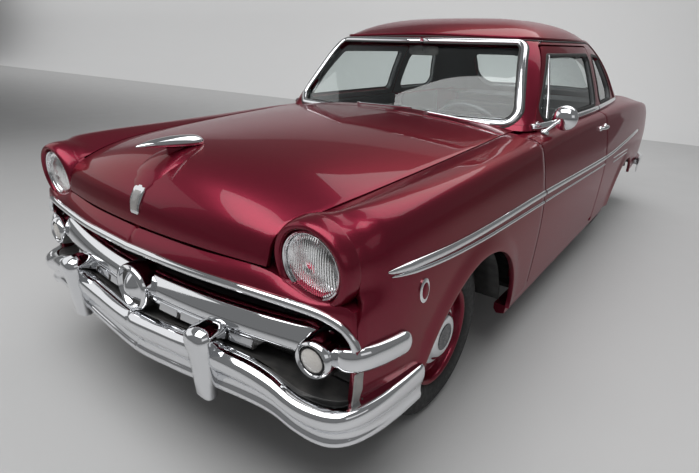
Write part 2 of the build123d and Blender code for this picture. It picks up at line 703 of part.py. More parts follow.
def front_suspension():
    """Cross member, springs and the two pairs of control arms."""
    y = FRONT_AXLE_Y
    beam = box(-RAIL_X, RAIL_X, y - 70, y + 70, 205, 300)
    parts = beam
    for side in (1, -1):
        for z, half in ((LOWER_ARM_Z, 150), (UPPER_ARM_Z, 110)):
            inner_x, outer_x = side * 440, side * KINGPIN_X
            root = side * (RAIL_X + RAIL_WIDTH + 4)
            front_edge = [(root, y - half), (inner_x, y - half), (outer_x, y - 34)]
            outline = front_edge + [(outer_x, y + 34), (inner_x, y + half), (root, y + half)]
            wire = Wire.make_polygon([(a, b, z - ARM_THICKNESS / 2) for a, b in outline])
            arm = Solid.extrude(Face(wire), Vector(0, 0, ARM_THICKNESS))
            arm += rod((outer_x, y, z - ARM_THICKNESS / 2), (outer_x, y, z + ARM_THICKNESS / 2), 34)
            parts += arm
        spring_x = side * 505
        parts += rod((spring_x, y, LOWER_ARM_Z), (spring_x, y, UPPER_ARM_Z), 55)
        parts += box(min(side * 330, side * 430), max(side * 330, side * 430), y - 70, y + 70, 225, 262)
    return parts


def knuckle():
    y = FRONT_AXLE_Y
    half = ARM_THICKNESS / 2 + SEAT_GAP
    post = rod((KINGPIN_X, y, LOWER_ARM_Z + half), (KINGPIN_X, y, UPPER_ARM_Z - half), KINGPIN_RADIUS)
    plate = box(KINGPIN_X - 14, KINGPIN_X + 22, y - 60, y + 60, TYRE_RADIUS - 60, TYRE_RADIUS + 60)
    spindle = rod((KINGPIN_X, y, TYRE_RADIUS), (FRONT_TRACK / 2 + HUB_REACH, y, TYRE_RADIUS), SPINDLE_RADIUS)
    arm = box(KINGPIN_X - 14, KINGPIN_X + 8, y + 20, y + 150, TYRE_RADIUS - 66, TYRE_RADIUS - 40)
    return post + plate + spindle + arm


HUB_REACH = 14
HUB_BACK = 40


def rear_axle():
    y, z = REAR_AXLE_Y, TYRE_RADIUS
    tube_end = REAR_TRACK / 2 - HUB_BACK - DRUM_WIDTH / 2 - 12
    axle = rod((-tube_end, y, z), (tube_end, y, z), 42)
    tip = REAR_TRACK / 2 + HUB_REACH
    axle += rod((-tip, y, z), (tip, y, z), SPINDLE_RADIUS)
    axle += Pos(0, y, z) * Sphere(125)
    axle += rod((0, y - 190, z + 4), (0, y, z), 55)
    for side in (1, -1):
        x = side * 520
        axle += prism_x(
            [
                (y - 640, z - 105),
                (y - 300, z - 92),
                (y, z - 80),
                (y + 300, z - 62),
                (y + 640, z + 20),
                (y + 640, z + 50),
                (y + 300, z - 30),
                (y, z - 38),
                (y - 300, z - 60),
                (y - 640, z - 75),
            ],
            x - 28,
            x + 28,
        )
        for dy, dz in ((-640, -90), (640, 35)):
            outer = side * (RAIL_X + RAIL_WIDTH + SEAT_GAP)
            axle += rod((outer, y + dy, z + dz), (x, y + dy, z + dz), 15)
    return axle


def drive_shaft():
    return rod((0, FRONT_AXLE_Y + 1010 + SEAT_GAP, 385), (0, REAR_AXLE_Y - 190 - SEAT_GAP, TYRE_RADIUS + 4), 36)


def exhaust():
    x = -272
    low = 232
    route = [
        (x, FRONT_AXLE_Y + 200, low + 180),
        (x, FRONT_AXLE_Y + 420, low),
        (x, REAR_AXLE_Y - 345, low),
        (x, REAR_AXLE_Y - 110, 448),
        (x, REAR_AXLE_Y + 110, 448),
        (x, REAR_AXLE_Y + 400, low + 20),
        (x, REAR_Y - 150, low + 20),
    ]
    path = FilletPolyline(*route, radius=90)
    start = Plane(origin=route[0], z_dir=Vector(*route[1]) - Vector(*route[0]))
    pipe = sweep(start * Circle(24), path=path)
    muffler = rod((x, REAR_AXLE_Y - 1200, low), (x, REAR_AXLE_Y - 740, low), 62)
    whole = pipe + muffler
    for y in (COWL_Y + 300, REAR_AXLE_Y - 1300):
        whole += box(-RAIL_X + SEAT_GAP, x, y, y + 30, low - 6, low + 6)
    return whole


def fuel_tank():
    y0, y1 = TRUNK_Y + 60, TAIL_Y - 220
    return fillet(box(-225, 335, y0, y1, 262, TRUNK_FLOOR_Z - SEAT_GAP).edges().filter_by(Axis.Z), 60)


# Doors
WINDOW_SILL_Z = BELT_Z + 40
FRAME_BAND = 44
DOOR_DEPTH = 100
DOOR_TOP_DEPTH = 62
DOOR_TOP_Z = RAIL_Z - 4
A_PILLAR_FOOT_Y = COWL_Y + 235
A_PILLAR_TOP_Y = COWL_Y + 571


def door_upper_outline(grow=0):
    """Side view of the door above the belt, grown by a gap."""
    return [
        (A_PILLAR_FOOT_Y - 1.3 * grow, BELT_Z - 60),
        (A_PILLAR_FOOT_Y - 1.3 * grow, BELT_Z),
        (A_PILLAR_TOP_Y - 1.3 * grow, DOOR_TOP_Z + grow),
        (DOOR_REAR_Y + grow, DOOR_TOP_Z + grow),
        (DOOR_REAR_Y + grow, BELT_Z - 60),
    ]


def door_window_outline(shrink=0):
    b = FRAME_BAND + shrink
    return [
        (A_PILLAR_FOOT_Y + 36 + 1.3 * b, WINDOW_SILL_Z + shrink),
        (A_PILLAR_TOP_Y + 1.0 * b, DOOR_TOP_Z - b),
        (DOOR_REAR_Y - b, DOOR_TOP_Z - b),
        (DOOR_REAR_Y - b, WINDOW_SILL_Z + shrink),
    ]


def door_wire(y):
    p = {k: (x, y, z) for k, (x, z) in skin_points(y, SILL_Z).items()}
    top_in = (p["crown"][0] - DOOR_TOP_DEPTH, y, p["crown"][2])
    foot_in = (p["foot"][0] - DOOR_DEPTH, y, SILL_Z)
    return Wire(
        [
            arc(p["foot"], p["widest"], p["shoulder"]),
            arc(p["shoulder"], p["turn"], p["crown"]),
            line(p["crown"], top_in),
            line(top_in, foot_in),
            line(foot_in, p["foot"]),
        ]
    )


def door(cabin, cabin_inner):
    places = [DOOR_FRONT_Y, DOOR_FRONT_Y + 450, DOOR_FRONT_Y + 950, DOOR_REAR_Y]
    lower = loft_through([door_wire(y) for y in places])
    walls = cabin - cabin_inner
    frame = walls & prism_x(door_upper_outline(), 300, ARCH_REACH)
    frame -= prism_x(door_window_outline(), 200, ARCH_REACH, 40)
    whole = lower + frame
    for z in DOOR_HINGE_Z:
        _, ear, _, tab_room = door_hinge(z)
        whole = whole - tab_room + ear
    return whole


def door_glass():
    pane = greenhouse(GLASS_INSET) - greenhouse(GLASS_INSET + GLASS)
    return pane & prism_x(door_window_outline(SEAT_GAP), 300, ARCH_REACH, 40)


QUARTER_FRONT_Y = DOOR_REAR_Y + 86
QUARTER_WINDOW = [
    (QUARTER_FRONT_Y, WINDOW_SILL_Z),
    (QUARTER_FRONT_Y, RAIL_Z - 46),
    (REAR_AXLE_Y - 458, RAIL_Z - 66),
    (REAR_AXLE_Y - 268, WINDOW_SILL_Z),
]
WINDSHIELD_FOOT = HALF_WIDTH - 212
WINDSHIELD_HEAD = HALF_WIDTH - 338
WINDSHIELD = [
    (-WINDSHIELD_FOOT, BELT_Z + 26),
    (-WINDSHIELD_HEAD, RAIL_Z + 12),
    (WINDSHIELD_HEAD, RAIL_Z + 12),
    (WINDSHIELD_FOOT, BELT_Z + 26),
]
REAR_WINDOW_FOOT = HALF_WIDTH - 348
REAR_WINDOW_HEAD = HALF_WIDTH - 488
REAR_WINDOW = [
    (-REAR_WINDOW_FOOT, BELT_Z + 40),
    (-REAR_WINDOW_HEAD, RAIL_Z - 42),
    (REAR_WINDOW_HEAD, RAIL_Z - 42),
    (REAR_WINDOW_FOOT, BELT_Z + 40),
]
WINDSHIELD_ROUNDING = 60
REAR_WINDOW_ROUNDING = 110
QUARTER_ROUNDING = 60


def scaled_outline(points, shrink):
    """An outline moved inwards by shrink on every side of its middle."""
    mid_a = sum(p[0] for p in points) / len(points)
    mid_b = sum(p[1] for p in points) / len(points)
    out = []
    for a, b in points:
        out.append((a - shrink * (1 if a > mid_a else -1), b - shrink * (1 if b > mid_b else -1)))
    return out


def window_cutters(shrink=0):
    """Prisms through the windshield, the rear window and one quarter window."""
    front = prism_y(scaled_outline(WINDSHIELD, shrink), COWL_Y - 270, COWL_Y + 710, WINDSHIELD_ROUNDING)
    back = prism_y(scaled_outline(REAR_WINDOW, shrink), REAR_AXLE_Y - 520, TAIL_Y - 200, REAR_WINDOW_ROUNDING)
    quarter = prism_x(scaled_outline(QUARTER_WINDOW, shrink), 300, ARCH_REACH, QUARTER_ROUNDING)
    return front, back, quarter


def roof(cabin, cabin_inner):
    walls = cabin - cabin_inner
    front, back, quarter = window_cutters()
    doorway = prism_x(door_upper_outline(SWING_GAP), 200, ARCH_REACH)
    for cutter in (front, back, quarter, mirrored(quarter), doorway, mirrored(doorway)):
        walls -= cutter
    walls -= box(-HALF_WIDTH, HALF_WIDTH, FRONT_Y, REAR_Y, 0, BELT_Z + SEAT_GAP)
    return walls


def glass_panes():
    pane = greenhouse(GLASS_INSET) - greenhouse(GLASS_INSET + GLASS)
    front, back, quarter = window_cutters(SEAT_GAP)
    quarter_pane = pane & quarter
    return pane & front, pane & back, quarter_pane + mirrored(quarter_pane)


def quarter_panel():
    places = [DOOR_REAR_Y + SWING_GAP, REAR_AXLE_Y - 300, REAR_AXLE_Y, TAIL_Y - 608, TAIL_Y - 228, TAIL_Y]
    skin = side_panel(places, FENDER_BOTTOM_Z)
    wall = Solid.extrude(Face(side_fill(TAIL_Y, 470)), Vector(0, -PANEL, 0))
    panel = skin + wall
    panel -= arch_cutter(REAR_AXLE_Y, REAR_ARCH_Z, REAR_ARCH_RADIUS)
    panel -= box(300, ARCH_REACH, REAR_AXLE_Y + 200, REAR_Y, 0, 420)
    panel -= box(300, ARCH_REACH, TAIL_Y - 130, REAR_Y, 0, 565)
    return panel


def deck_panel(cabin):
    rows = stations_between(DECK, DECK[0][0], TRUNK_FRONT_Y - SHUT_GAP)
    strip = loft_through([strip_wire(row, PANEL) for row in rows])
    strip -= cabin
    for x in TRUNK_HINGE[0]:
        pin, _, notch = gap_hinge(x, *TRUNK_HINGE[1:], -1)
        strip = strip - notch + pin
    return strip


def trunk_lid():
    rows = stations_between(DECK, TRUNK_FRONT_Y, DECK[-1][0])
    lid = loft_through([strip_wire(row, PANEL) for row in even_stations(rows, 9)])
    for x in TRUNK_HINGE[0]:
        lid += gap_hinge(x, *TRUNK_HINGE[1:], -1)[1]
    return lid


def parcel_shelf():
    """The shelf under the rear window and the bulkhead behind the rear bench."""
    half = HALF_WIDTH - 288
    shelf = box(-half, half, SHELF_Y, TRUNK_Y + 110, 1000, 1012)
    foot = REAR_FLOOR_Z + FLOOR_PLATE + SEAT_GAP
    wall = box(-REAR_FLOOR_HALF, REAR_FLOOR_HALF, SHELF_Y, SHELF_Y + 14, foot, 1010)
    return shelf + wall


SHELF_Y = REAR_AXLE_Y - 40


def tail_panel():
    half = HALF_WIDTH - 288
    ledge = half - 40
    wall = box(-half, half, TAIL_Y - PANEL, TAIL_Y, 470, 640)
    return wall + box(-ledge, ledge, TAIL_Y - PANEL, DECK[-1][0] - 24, 639, 660)


TAIL_LAMP_X = HALF_WIDTH - 156
TAIL_LAMP_Z = 770
TAIL_LAMP_RADIUS = 76


def tail_lamp():
    points = [(0, 0), (TAIL_LAMP_RADIUS, 0), (TAIL_LAMP_RADIUS, 34), (TAIL_LAMP_RADIUS - 10, 52), (0, 64)]
    return revolved(points, (TAIL_LAMP_X, TAIL_Y + SEAT_GAP, TAIL_LAMP_Z), (0, 1, 0))


# Grille and bumpers
BAR_Z = 632
BAR_TALL = 80
BAR_HALF = HALF_WIDTH - 194
BAR_FRONT_Y = NOSE_Y + 12
BAR_DEPTH = 60
SPINNER_RADIUS = 86
SPINNER_Z = 610
SPINNER_REACH = 42
POD_RADIUS = 60
POD_RING = 52
POD_Z = 578
POD_LENGTH = 104
POD_REACH = 8
SLOT_LOW_Z = 545
SLOT_WIDTH = 88
SLOT_PLACES = (165, 275, 385, 490)
SLOT_BAND = 8
EAR_TALL = 58
EAR_THICKNESS = 14

# Plan line of a wrapped grille end: place across, along, and heading
EAR_LINE = [(760, -8, 4), (850, -18, 18), (890, -9, 45), (907, 36, 72), (915, 120, 82), (926, 228, 87)]


def nose_panel():
    half = inner_edge(LAMP_WALL_Y)[0] - SEAT_GAP
    return lip_band(LIP_DEPTH) & box(-half, half, FRONT_Y, 0, 0, HEIGHT)


def grille_ear():
    """The tapering end that wraps from a pod round the fender's corner."""
    wires = []
    for i, (x, y, heading) in enumerate(EAR_LINE):
        out = Vector(sin(radians(heading)), -cos(radians(heading)), 0)
        place = Vector(x + HALF_WIDTH - 928, FENDER_FRONT_Y + y, BAR_Z - 16 - i)
        tall = EAR_TALL * (0.5 if i in (0, len(EAR_LINE) - 1) else 1)
        top, low = place + Vector(0, 0, tall / 2), place - Vector(0, 0, tall / 2)
        back = out * -EAR_THICKNESS * 0.4
        outer = arc(low, place + out * EAR_THICKNESS * 0.6, top)
        inner = [line(top, top + back), line(top + back, low + back), line(low + back, low)]
        wires.append(Wire([outer] + inner))
    return loft_straight(wires)


def grille_bar():
    """The floating bar with its round centre, lamp pods, lower slots and wrap-round ends."""
    low, high = BAR_Z - BAR_TALL / 2, BAR_Z + BAR_TALL / 2
    profile = [(0, low + 20), (-14, BAR_Z), (0, high - 16), (24, high), (BAR_DEPTH, high), (BAR_DEPTH, low), (22, low)]
    whole = bowed_bar(profile, BAR_HALF, BAR_FRONT_Y)
    r, base = SPINNER_RADIUS, BAR_DEPTH + 15
    face = base + SPINNER_REACH
    hub = [(0, 0), (r, 0), (r, face - 16), (r - 14, face), (r - 30, face - 10), (30, face + 4), (0, face + 10)]
    whole += revolved(hub, (0, BAR_FRONT_Y + base, SPINNER_Z), (0, -1, 0))
    p, n = POD_RADIUS, POD_LENGTH
    pod = [(0, 0), (p - 12, 0), (p, 30), (p, n - 10), (POD_RING, n), (40, n - 6), (0, n + 2)]
    pod_y = nose_y(BAR_HALF, BAR_FRONT_Y) - POD_REACH + POD_LENGTH
    for x in (-BAR_HALF, BAR_HALF):
        whole += revolved(pod, (x, pod_y, POD_Z), (0, -1, 0))
    slots = bowed_bar([(4, SLOT_LOW_Z), (4, low + 8), (40, low + 8), (40, SLOT_LOW_Z)], BAR_HALF - 160, BAR_FRONT_Y)
    slots -= box(-r + 6, r - 6, FRONT_Y, 0, 0, 1000)
    for place in SLOT_PLACES:
        for x in (-place, place):
            edges = x - SLOT_WIDTH / 2, x + SLOT_WIDTH / 2
            slots -= box(*edges, FRONT_Y, BAR_FRONT_Y + 120, SLOT_LOW_Z + SLOT_BAND, low - SLOT_BAND / 2)
    whole += slots
    ear = grille_ear()
    whole += ear + mirrored(ear)
    for x in (-520, 520):
        y = nose_y(x, NOSE_Y)
        whole += box(x - 14, x + 14, y + 26, y + 36, high - 10, LIP_FOOT_Z - SEAT_GAP)
    return whole


BUMPER_THICKNESS = 8
BUMPER_FACE_Y = FRONT_Y + 18


def bumper_section(x, y, heading, low, high, depth, t=BUMPER_THICKNESS):
    """A stepped face bar section at a place on the bumper's plan line. Heading turns it round the corner."""
    out = Vector(sin(radians(heading)), -cos(radians(heading)), 0)

    def at(back, z):
        return Vector(x, y, z) - out * (depth * back)

    def behind(back, z):
        return at(back, z) - out * t

    mid = low + 0.42 * (high - low)
    return Wire(
        [
            arc(at(44, high), at(0, (mid + high) / 2 + 8), at(26, mid)),
            arc(at(26, mid), at(34, (mid + low) / 2 + 14), at(22, low + 26)),
            line(at(22, low + 26), at(30, low)),
            line(at(30, low), behind(30, low)),
            line(behind(30, low), behind(22, low + 26)),
            arc(behind(22, low + 26), behind(34, (mid + low) / 2 + 14), behind(26, mid)),
            arc(behind(26, mid), behind(0, (mid + high) / 2 + 8), behind(44, high)),
            line(behind(44, high), at(44, high)),
        ]
    )


# Plan line of a bumper half: place across, place behind the tip, heading, foot and top of the section, and
# its depth. The bar dips in the middle, rises beside the guards and drops again round the corners.
BUMPER_LINE = [
    (0, 0, 0, 352, 518, 1),
    (215, 4, 2, 372, 536, 1),
    (400, 12, 4, 395, 552, 1),
    (560, 26, 7, 408, 552, 1),
    (660, 40, 10, 402, 532, 1),
    (745, 54, 14, 374, 496, 0.9),
    (820, 72, 24, 360, 486, 0.85),
    (870, 100, 45, 358, 484, 0.8),
    (905, 150, 62, 360, 484, 0.45),
    (928, 230, 78, 358, 486, 0.42),
    (938, 330, 85, 354, 486, 0.36),
    (941, 462, 89, 350, 482, 0.24),
]
GUARD_LOW_Z = 364
GUARD_TOP_Z = 566


def bumper(front):
    """One wrapped face bar, with its guards and the arms that carry it."""
    wider = HALF_WIDTH - 928
    half = [(x + wider * x / 941, *rest) for x, *rest in BUMPER_LINE]
    rows = [(-x, back, -turn, *rest) for x, back, turn, *rest in reversed(half[1:])] + half
    whole = loft_straight([bumper_section(x, BUMPER_FACE_Y + back, *rest) for x, back, *rest in rows])
    for side in (1, -1):
        x = side * GUARD_X
        guard = prism_x(
            [
                (FRONT_Y + 78, GUARD_LOW_Z),
                (FRONT_Y + 22, GUARD_LOW_Z),
                (FRONT_Y + 8, GUARD_LOW_Z + 130),
                (FRONT_Y, GUARD_TOP_Z + 16),
                (FRONT_Y + 34, GUARD_TOP_Z + 46),
                (FRONT_Y + 72, GUARD_TOP_Z + 24),
            ],
            x - 42,
            x + 42,
        )
        whole += guard
        arm_x = side * (RAIL_X + RAIL_WIDTH / 2)
        whole += box(arm_x - 20, arm_x + 20, FRONT_Y + 20, FRONT_Y + 150 - SEAT_GAP, 420, 460)
    if front:
        return whole
    return whole.rotate(Axis.Z, 180)


# Front pan, half of it: place across, front edge along and height, back edge along and height
PAN_LINE = [
    (0, 60, 516, 165, 520),
    (400, 74, 548, 176, 524),
    (660, 106, 528, 200, 516),
    (800, 150, 486, 216, 492),
]
PAN_THICKNESS = 6


def stone_pan():
    """The pressed pan that fills the room between the grille and the bumper."""
    wider = HALF_WIDTH - 928
    half = [(x + wider * x / 941, *rest) for x, *rest in PAN_LINE]
    wires = []
    for x, y0, z0, y1, z1 in [(-x, *rest) for x, *rest in reversed(half[1:])] + half:
        front, back = (x, FRONT_Y + y0, z0), (x, FRONT_Y + y1, z1)
        mid = (x, FRONT_Y + (y0 + y1) / 2, (z0 + z1) / 2 - 8)
        low = [(a, b, c - PAN_THICKNESS) for a, b, c in (back, mid, front)]
        wires.append(Wire([arc(front, mid, back), line(back, low[0]), arc(*low), line(low[2], front)]))
    pan = loft_through(wires)
    for side in (1, -1):
        x = side * (RAIL_X + RAIL_WIDTH / 2)
        pan += box(x - 12, x + 12, FRONT_Y + 158, FRONT_Y + 168, RAIL_FRONT_Z + SEAT_GAP, 520)
    return pan


GUARD_X = 400


# Cabin
FRONT_BENCH_HALF = HALF_WIDTH - 238
REAR_BENCH_HALF = HALF_WIDTH - 343
FRONT_BENCH_Y = COWL_Y + 697
REAR_BENCH_Y = HEEL_Y - 348


def bench(y, half, floor_z, height, length, back_height):
    """A bench to sit on: a cushion and a raked back, as one upholstered solid astride the tunnel."""
    cushion = box(-half, half, y, y + length, floor_z, floor_z + height)
    cushion = fillet(cushion.edges().filter_by(Axis.X).sort_by(Axis.Z)[-2:], 60)
    back = prism_x(
        [
            (y + length - 120, floor_z + height - 60),
            (y + length + 30, floor_z + height - 60),
            (y + length + 150, floor_z + back_height),
            (y + length + 40, floor_z + back_height),
        ],
        -half,
        half,
    )
    tunnel = box(-TUNNEL_HALF - 21, TUNNEL_HALF + 21, FRONT_Y, REAR_Y, 0, TUNNEL_TOP_Z + FLOOR_PLATE + SEAT_GAP)
    return cushion + fillet(back.edges().filter_by(Axis.X).sort_by(Axis.Z)[-2:], 50) - tunnel


def dashboard():
    y = COWL_Y + 50 + SEAT_GAP
    points = [
        (y, 1000),
        (y + 190, 1010),
        (y + 255, 960),
        (y + 230, 760),
        (y + 150, 740),
        (y, 740),
    ]
    half = HALF_WIDTH - 248
    panel = prism_x(points, -half, half)
    panel += rod(COLUMN_FOOT, COLUMN_TOP, 24)
    return panel


WHEEL_X = 350
COLUMN_FOOT = (WHEEL_X, COWL_Y + 78, 700)
COLUMN_TOP = (WHEEL_X, COWL_Y + 420, 905)
STEERING_RADIUS = 218


def steering_wheel():
    along = (Vector(*COLUMN_TOP) - Vector(*COLUMN_FOOT)).normalized()
    hub_at = Vector(*COLUMN_TOP) + along * SEAT_GAP
    plane = Plane(origin=hub_at + along * 60, x_dir=(1, 0, 0), z_dir=along)
    rim = plane * Torus(STEERING_RADIUS, 12)
    hub = Solid.make_cylinder(30, 64, Plane(origin=hub_at, z_dir=along))
    spokes = plane * Box(2 * STEERING_RADIUS, 22, 9)
    ring = plane * Torus(STEERING_RADIUS * 0.62, 5)
    return rim + hub + spokes + ring


def inside_mirror():
    y = COWL_Y + 507
    stem = rod((0, y, 1410), (0, y - 80, 1500), 7) & greenhouse(PILLAR - 0.6)
    return box(-95, 95, y - 10, y + 8, 1362, 1416) + stem


def wiper(x, reach):
    """A pivot on the cowl and a blade along the foot of the windshield."""
    y = WIPER_Y
    foot = COWL_TOP_Z - (x * x) / COWL_ARC + SEAT_GAP
    far_x, far_y = x + reach, WIPER_Y + 0.00006 * ((x + reach) ** 2 - x * x)
    far_z = COWL_TOP_Z - far_x * far_x / COWL_ARC + 20
    return rod((x, y, foot), (x, y, foot + 18), 10) + rod((x, y, foot + 12), (far_x, far_y, far_z), 5)


COWL_TOP_Z = 1106.6
COWL_ARC = 8620
WIPER_Y = COWL_Y + 40


def door_mirror():
    y = COWL_Y + 387
    stalk = rod((HALF_WIDTH - 116, y, BELT_Z + 1.2), (HALF_WIDTH - 48, y - 36, BELT_Z + 66), 7)
    head = rod((HALF_WIDTH - 44, y - 60, BELT_Z + 78), (HALF_WIDTH - 44, y - 24, BELT_Z + 78), 58)
    return stalk + head


# Wheels
def tyre_solid(x, y):
    half = TYRE_WIDTH / 2
    r0, r1 = BEAD_RADIUS + SEAT_GAP, TYRE_RADIUS
    bead = RIM_WIDTH / 2 - 8
    points = [
        (r0, -bead),
        (r0 + 14, -bead),
        (r0 + 30, -half + 6),
        (r0 + 80, -half),
        (r1 - 38, -half + 10),
        (r1 - 10, -half + 24),
        (r1, -half + 48),
        (r1, half - 48),
        (r1 - 10, half - 24),
        (r1 - 38, half - 10),
        (r0 + 80, half),
        (r0 + 30, half - 6),
        (r0 + 14, bead),
        (r0, bead),
    ]
    return revolved(points, (x, y, TYRE_RADIUS), (1, 0, 0))


def wheel_solid(x, y, side):
    """Rim, disc, hub cap, hub and brake drum, which turn together."""
    bead = RIM_WIDTH / 2 - 8
    lip = RIM_WIDTH / 2
    r = BEAD_RADIUS
    bore = SPINDLE_RADIUS + SPINDLE_CLEARANCE
    back_flange = [(r, -bead), (r + 12, -bead - 1), (r + 12, -lip - 6), (r - 8, -lip - 6)]
    well = [(r - 8, -20), (r - 26, -10), (r - 26, 24), (r - 8, 34)]
    front_flange = [(r - 8, lip + 6), (r + 12, lip + 6), (r + 12, bead + 1), (r, bead)]
    disc_front = [(r - 26, 10), (r - 26, 10 + DISC_THICKNESS), (r - 60, 46), (HUB_CAP_RADIUS - 12, 44)]
    disc_back = [(HUB_RADIUS, 30), (HUB_RADIUS, 24), (HUB_CAP_RADIUS - 12, 36), (r - 60, 38)]
    c, tall = HUB_CAP_RADIUS, HUB_CAP_HEIGHT
    cap_front = [(c, 44), (c - 6, 62), (c - 44, 44 + tall), (0, 48 + tall)]
    cap_back = [(0, 40 + tall), (c - 48, 37 + tall), (c - 12, 44)]
    hub = [(bore, -HUB_BACK), (HUB_RADIUS, -HUB_BACK), (HUB_RADIUS, 40), (bore, 40)]
    inner, low = HUB_RADIUS - 2, -HUB_BACK + 8
    high = low + DRUM_WIDTH
    drum = [(inner, low), (DRUM_RADIUS, low), (DRUM_RADIUS, high), (inner, high)]
    origin, out = (x, y, TYRE_RADIUS), (side, 0, 0)
    whole = revolved(back_flange + well + front_flange, origin, out)
    for points in (disc_front + disc_back, cap_front + cap_back, hub, drum):
        whole += revolved(points, origin, out)
    return whole


def wheel_places():
    for row, track, y in (("front", FRONT_TRACK, FRONT_AXLE_Y), ("rear", REAR_TRACK, REAR_AXLE_Y)):
        for name, side in (("left", 1), ("right", -1)):
            yield f"{row}_{name}", side * track / 2, y, side


def build():
    cabin = greenhouse()
    cabin_inner = greenhouse(PILLAR)
    windshield, rear_window, quarter_windows = glass_panes()
    fender, quarter, rocker = front_fender(), quarter_panel(), rocker_panel()
    left_door, left_glass = door(cabin, cabin_inner), door_glass()
    bezel, lens, lamp = headlamp_bezel(), headlamp_lens(), tail_lamp()
    hood_solid = hood()
    parts = {
        "chassis_frame": chassis_frame(),
        "floor_pan": floor_pan(),
        "rocker_panels": rocker + mirrored(rocker),
        "front_fenders": fender + mirrored(fender),
        "cowl": cowl(cabin),
        "roof": roof(cabin, cabin_inner),
        "quarter_panels": quarter + mirrored(quarter),
        "deck_panel": deck_panel(cabin),
        "parcel_shelf": parcel_shelf(),
        "tail_panel": tail_panel(),
        "nose_panel": nose_panel(),
        "windshield": windshield,
        "rear_window": rear_window,
        "quarter_windows": quarter_windows,
        "grille_bar": grille_bar(),
        "stone_pan": stone_pan(),
        "bumper_front": bumper(True),
        "bumper_rear": bumper(False),
        "headlamp_bezels": bezel + mirrored(bezel),
        "headlamp_lenses": lens + mirrored(lens),
        "tail_lamps": lamp + mirrored(lamp),
        "radiator_support": radiator_support(),
        "engine_block": engine_block(),
        "drive_shaft": drive_shaft(),
        "exhaust": exhaust(),
        "fuel_tank": fuel_tank(),
        "rear_axle": rear_axle(),
        "front_suspension": front_suspension(),
        "front_bench": bench(FRONT_BENCH_Y, FRONT_BENCH_HALF, FLOOR_Z + FLOOR_PLATE + SEAT_GAP, 300, 480, 640),
        "rear_bench": bench(REAR_BENCH_Y, REAR_BENCH_HALF, FLOOR_Z + FLOOR_PLATE + SEAT_GAP, 330, 330, 640),
        "dashboard": dashboard(),
        "steering_wheel": steering_wheel(),
        "inside_mirror": inside_mirror(),
        "wipers": wiper(-120, 330) + wiper(300, 330),
        "hood": hood_solid,
        "hood_ornament": hood_ornament(hood_solid),
        "trunk_lid": trunk_lid(),
        "door_left": left_door,
        "door_right": mirrored(left_door),
        "door_glass_left": left_glass,
        "door_glass_right": mirrored(left_glass),
        "door_mirror": door_mirror(),
        "knuckle_left": knuckle(),
        "knuckle_right": mirrored(knuckle()),
    }
    for name, x, y, side in wheel_places():
        parts[f"tyre_{name}"] = tyre_solid(x, y)
        parts[f"wheel_{name}"] = wheel_solid(x, y, side)
    return parts


if __name__ == "__main__":
    os.makedirs("parts", exist_ok=True)
    for name, shape in build().items():
        export_step(shape, f"parts/{name}.step")
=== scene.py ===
from math import acos, cos, hypot, pi, radians, sin, sqrt, tan

import bmesh
import bpy
from mathutils import Matrix, Vector
from mathutils.geometry import delaunay_2d_cdt


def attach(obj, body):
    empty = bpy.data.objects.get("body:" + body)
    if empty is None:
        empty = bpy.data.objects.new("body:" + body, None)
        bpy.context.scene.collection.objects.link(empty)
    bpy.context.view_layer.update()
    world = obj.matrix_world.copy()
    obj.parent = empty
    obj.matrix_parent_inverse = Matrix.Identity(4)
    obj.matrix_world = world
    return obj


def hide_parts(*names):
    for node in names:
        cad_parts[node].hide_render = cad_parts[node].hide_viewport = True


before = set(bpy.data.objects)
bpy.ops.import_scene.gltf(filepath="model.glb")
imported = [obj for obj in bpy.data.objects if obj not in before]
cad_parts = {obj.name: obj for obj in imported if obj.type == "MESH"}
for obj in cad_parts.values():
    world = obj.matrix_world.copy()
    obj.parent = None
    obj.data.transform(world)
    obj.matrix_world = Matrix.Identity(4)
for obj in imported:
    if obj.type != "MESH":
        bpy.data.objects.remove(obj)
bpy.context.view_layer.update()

MM = 0.001

# Driving sizes in millimetres, as in the part's source
LENGTH, HEIGHT, HALF_WIDTH = 5037, 1585, 928
FRONT_Y = -LENGTH / 2
REAR_Y = LENGTH / 2
FRONT_AXLE_Y = FRONT_Y + 863
REAR_AXLE_Y = FRONT_AXLE_Y + 2934
FRONT_TRACK, REAR_TRACK = 1473, 1422
TYRE_RADIUS = 345
PILLAR, SHUT_GAP, SWING_GAP, GLASS, GLASS_INSET = 46, 8, 9, 6, 14
SILL_Z, FENDER_BOTTOM_Z, NOSE_BOTTOM_Z = 335, 300, 420
BELT_Z, RAIL_Z, WIDEST_Z = 1045, 1432, 700
COWL_Y = FRONT_AXLE_Y + 628
DOOR_FRONT_Y = FRONT_AXLE_Y + 725
DOOR_REAR_Y = REAR_AXLE_Y - 900
FENDER_FRONT_Y = FRONT_Y + 190
TAIL_Y = REAR_Y - 112
NOSE_Y = FRONT_Y + 78
NOSE_RADIUS = 3300

# Body side: place, sill half width, widest, shoulder x and z, crown x and z
SIDE = [
    (FENDER_FRONT_Y, 848, 882, 868, 895, 763, 1000),
    (FRONT_AXLE_Y - 445, 892, 915, 892, 922, 780, 1014),
    (FRONT_AXLE_Y, 905, 926, 898, 935, 788, 1022),
    (DOOR_FRONT_Y, 908, 928, 897, 940, 806, BELT_Z - 8),
    (DOOR_FRONT_Y + 600, 908, 928, 892, 945, 818, BELT_Z - 2),
    (DOOR_REAR_Y, 908, 928, 892, 948, 816, BELT_Z - 2),
    (REAR_AXLE_Y, 905, 928, 896, 945, 800, BELT_Z - 8),
    (REAR_AXLE_Y + 520, 895, 920, 892, 925, 792, BELT_Z - 32),
    (REAR_AXLE_Y + 900, 873, 902, 880, 895, 788, BELT_Z - 70),
    (TAIL_Y, 843, 873, 854, 865, 778, BELT_Z - 108),
]
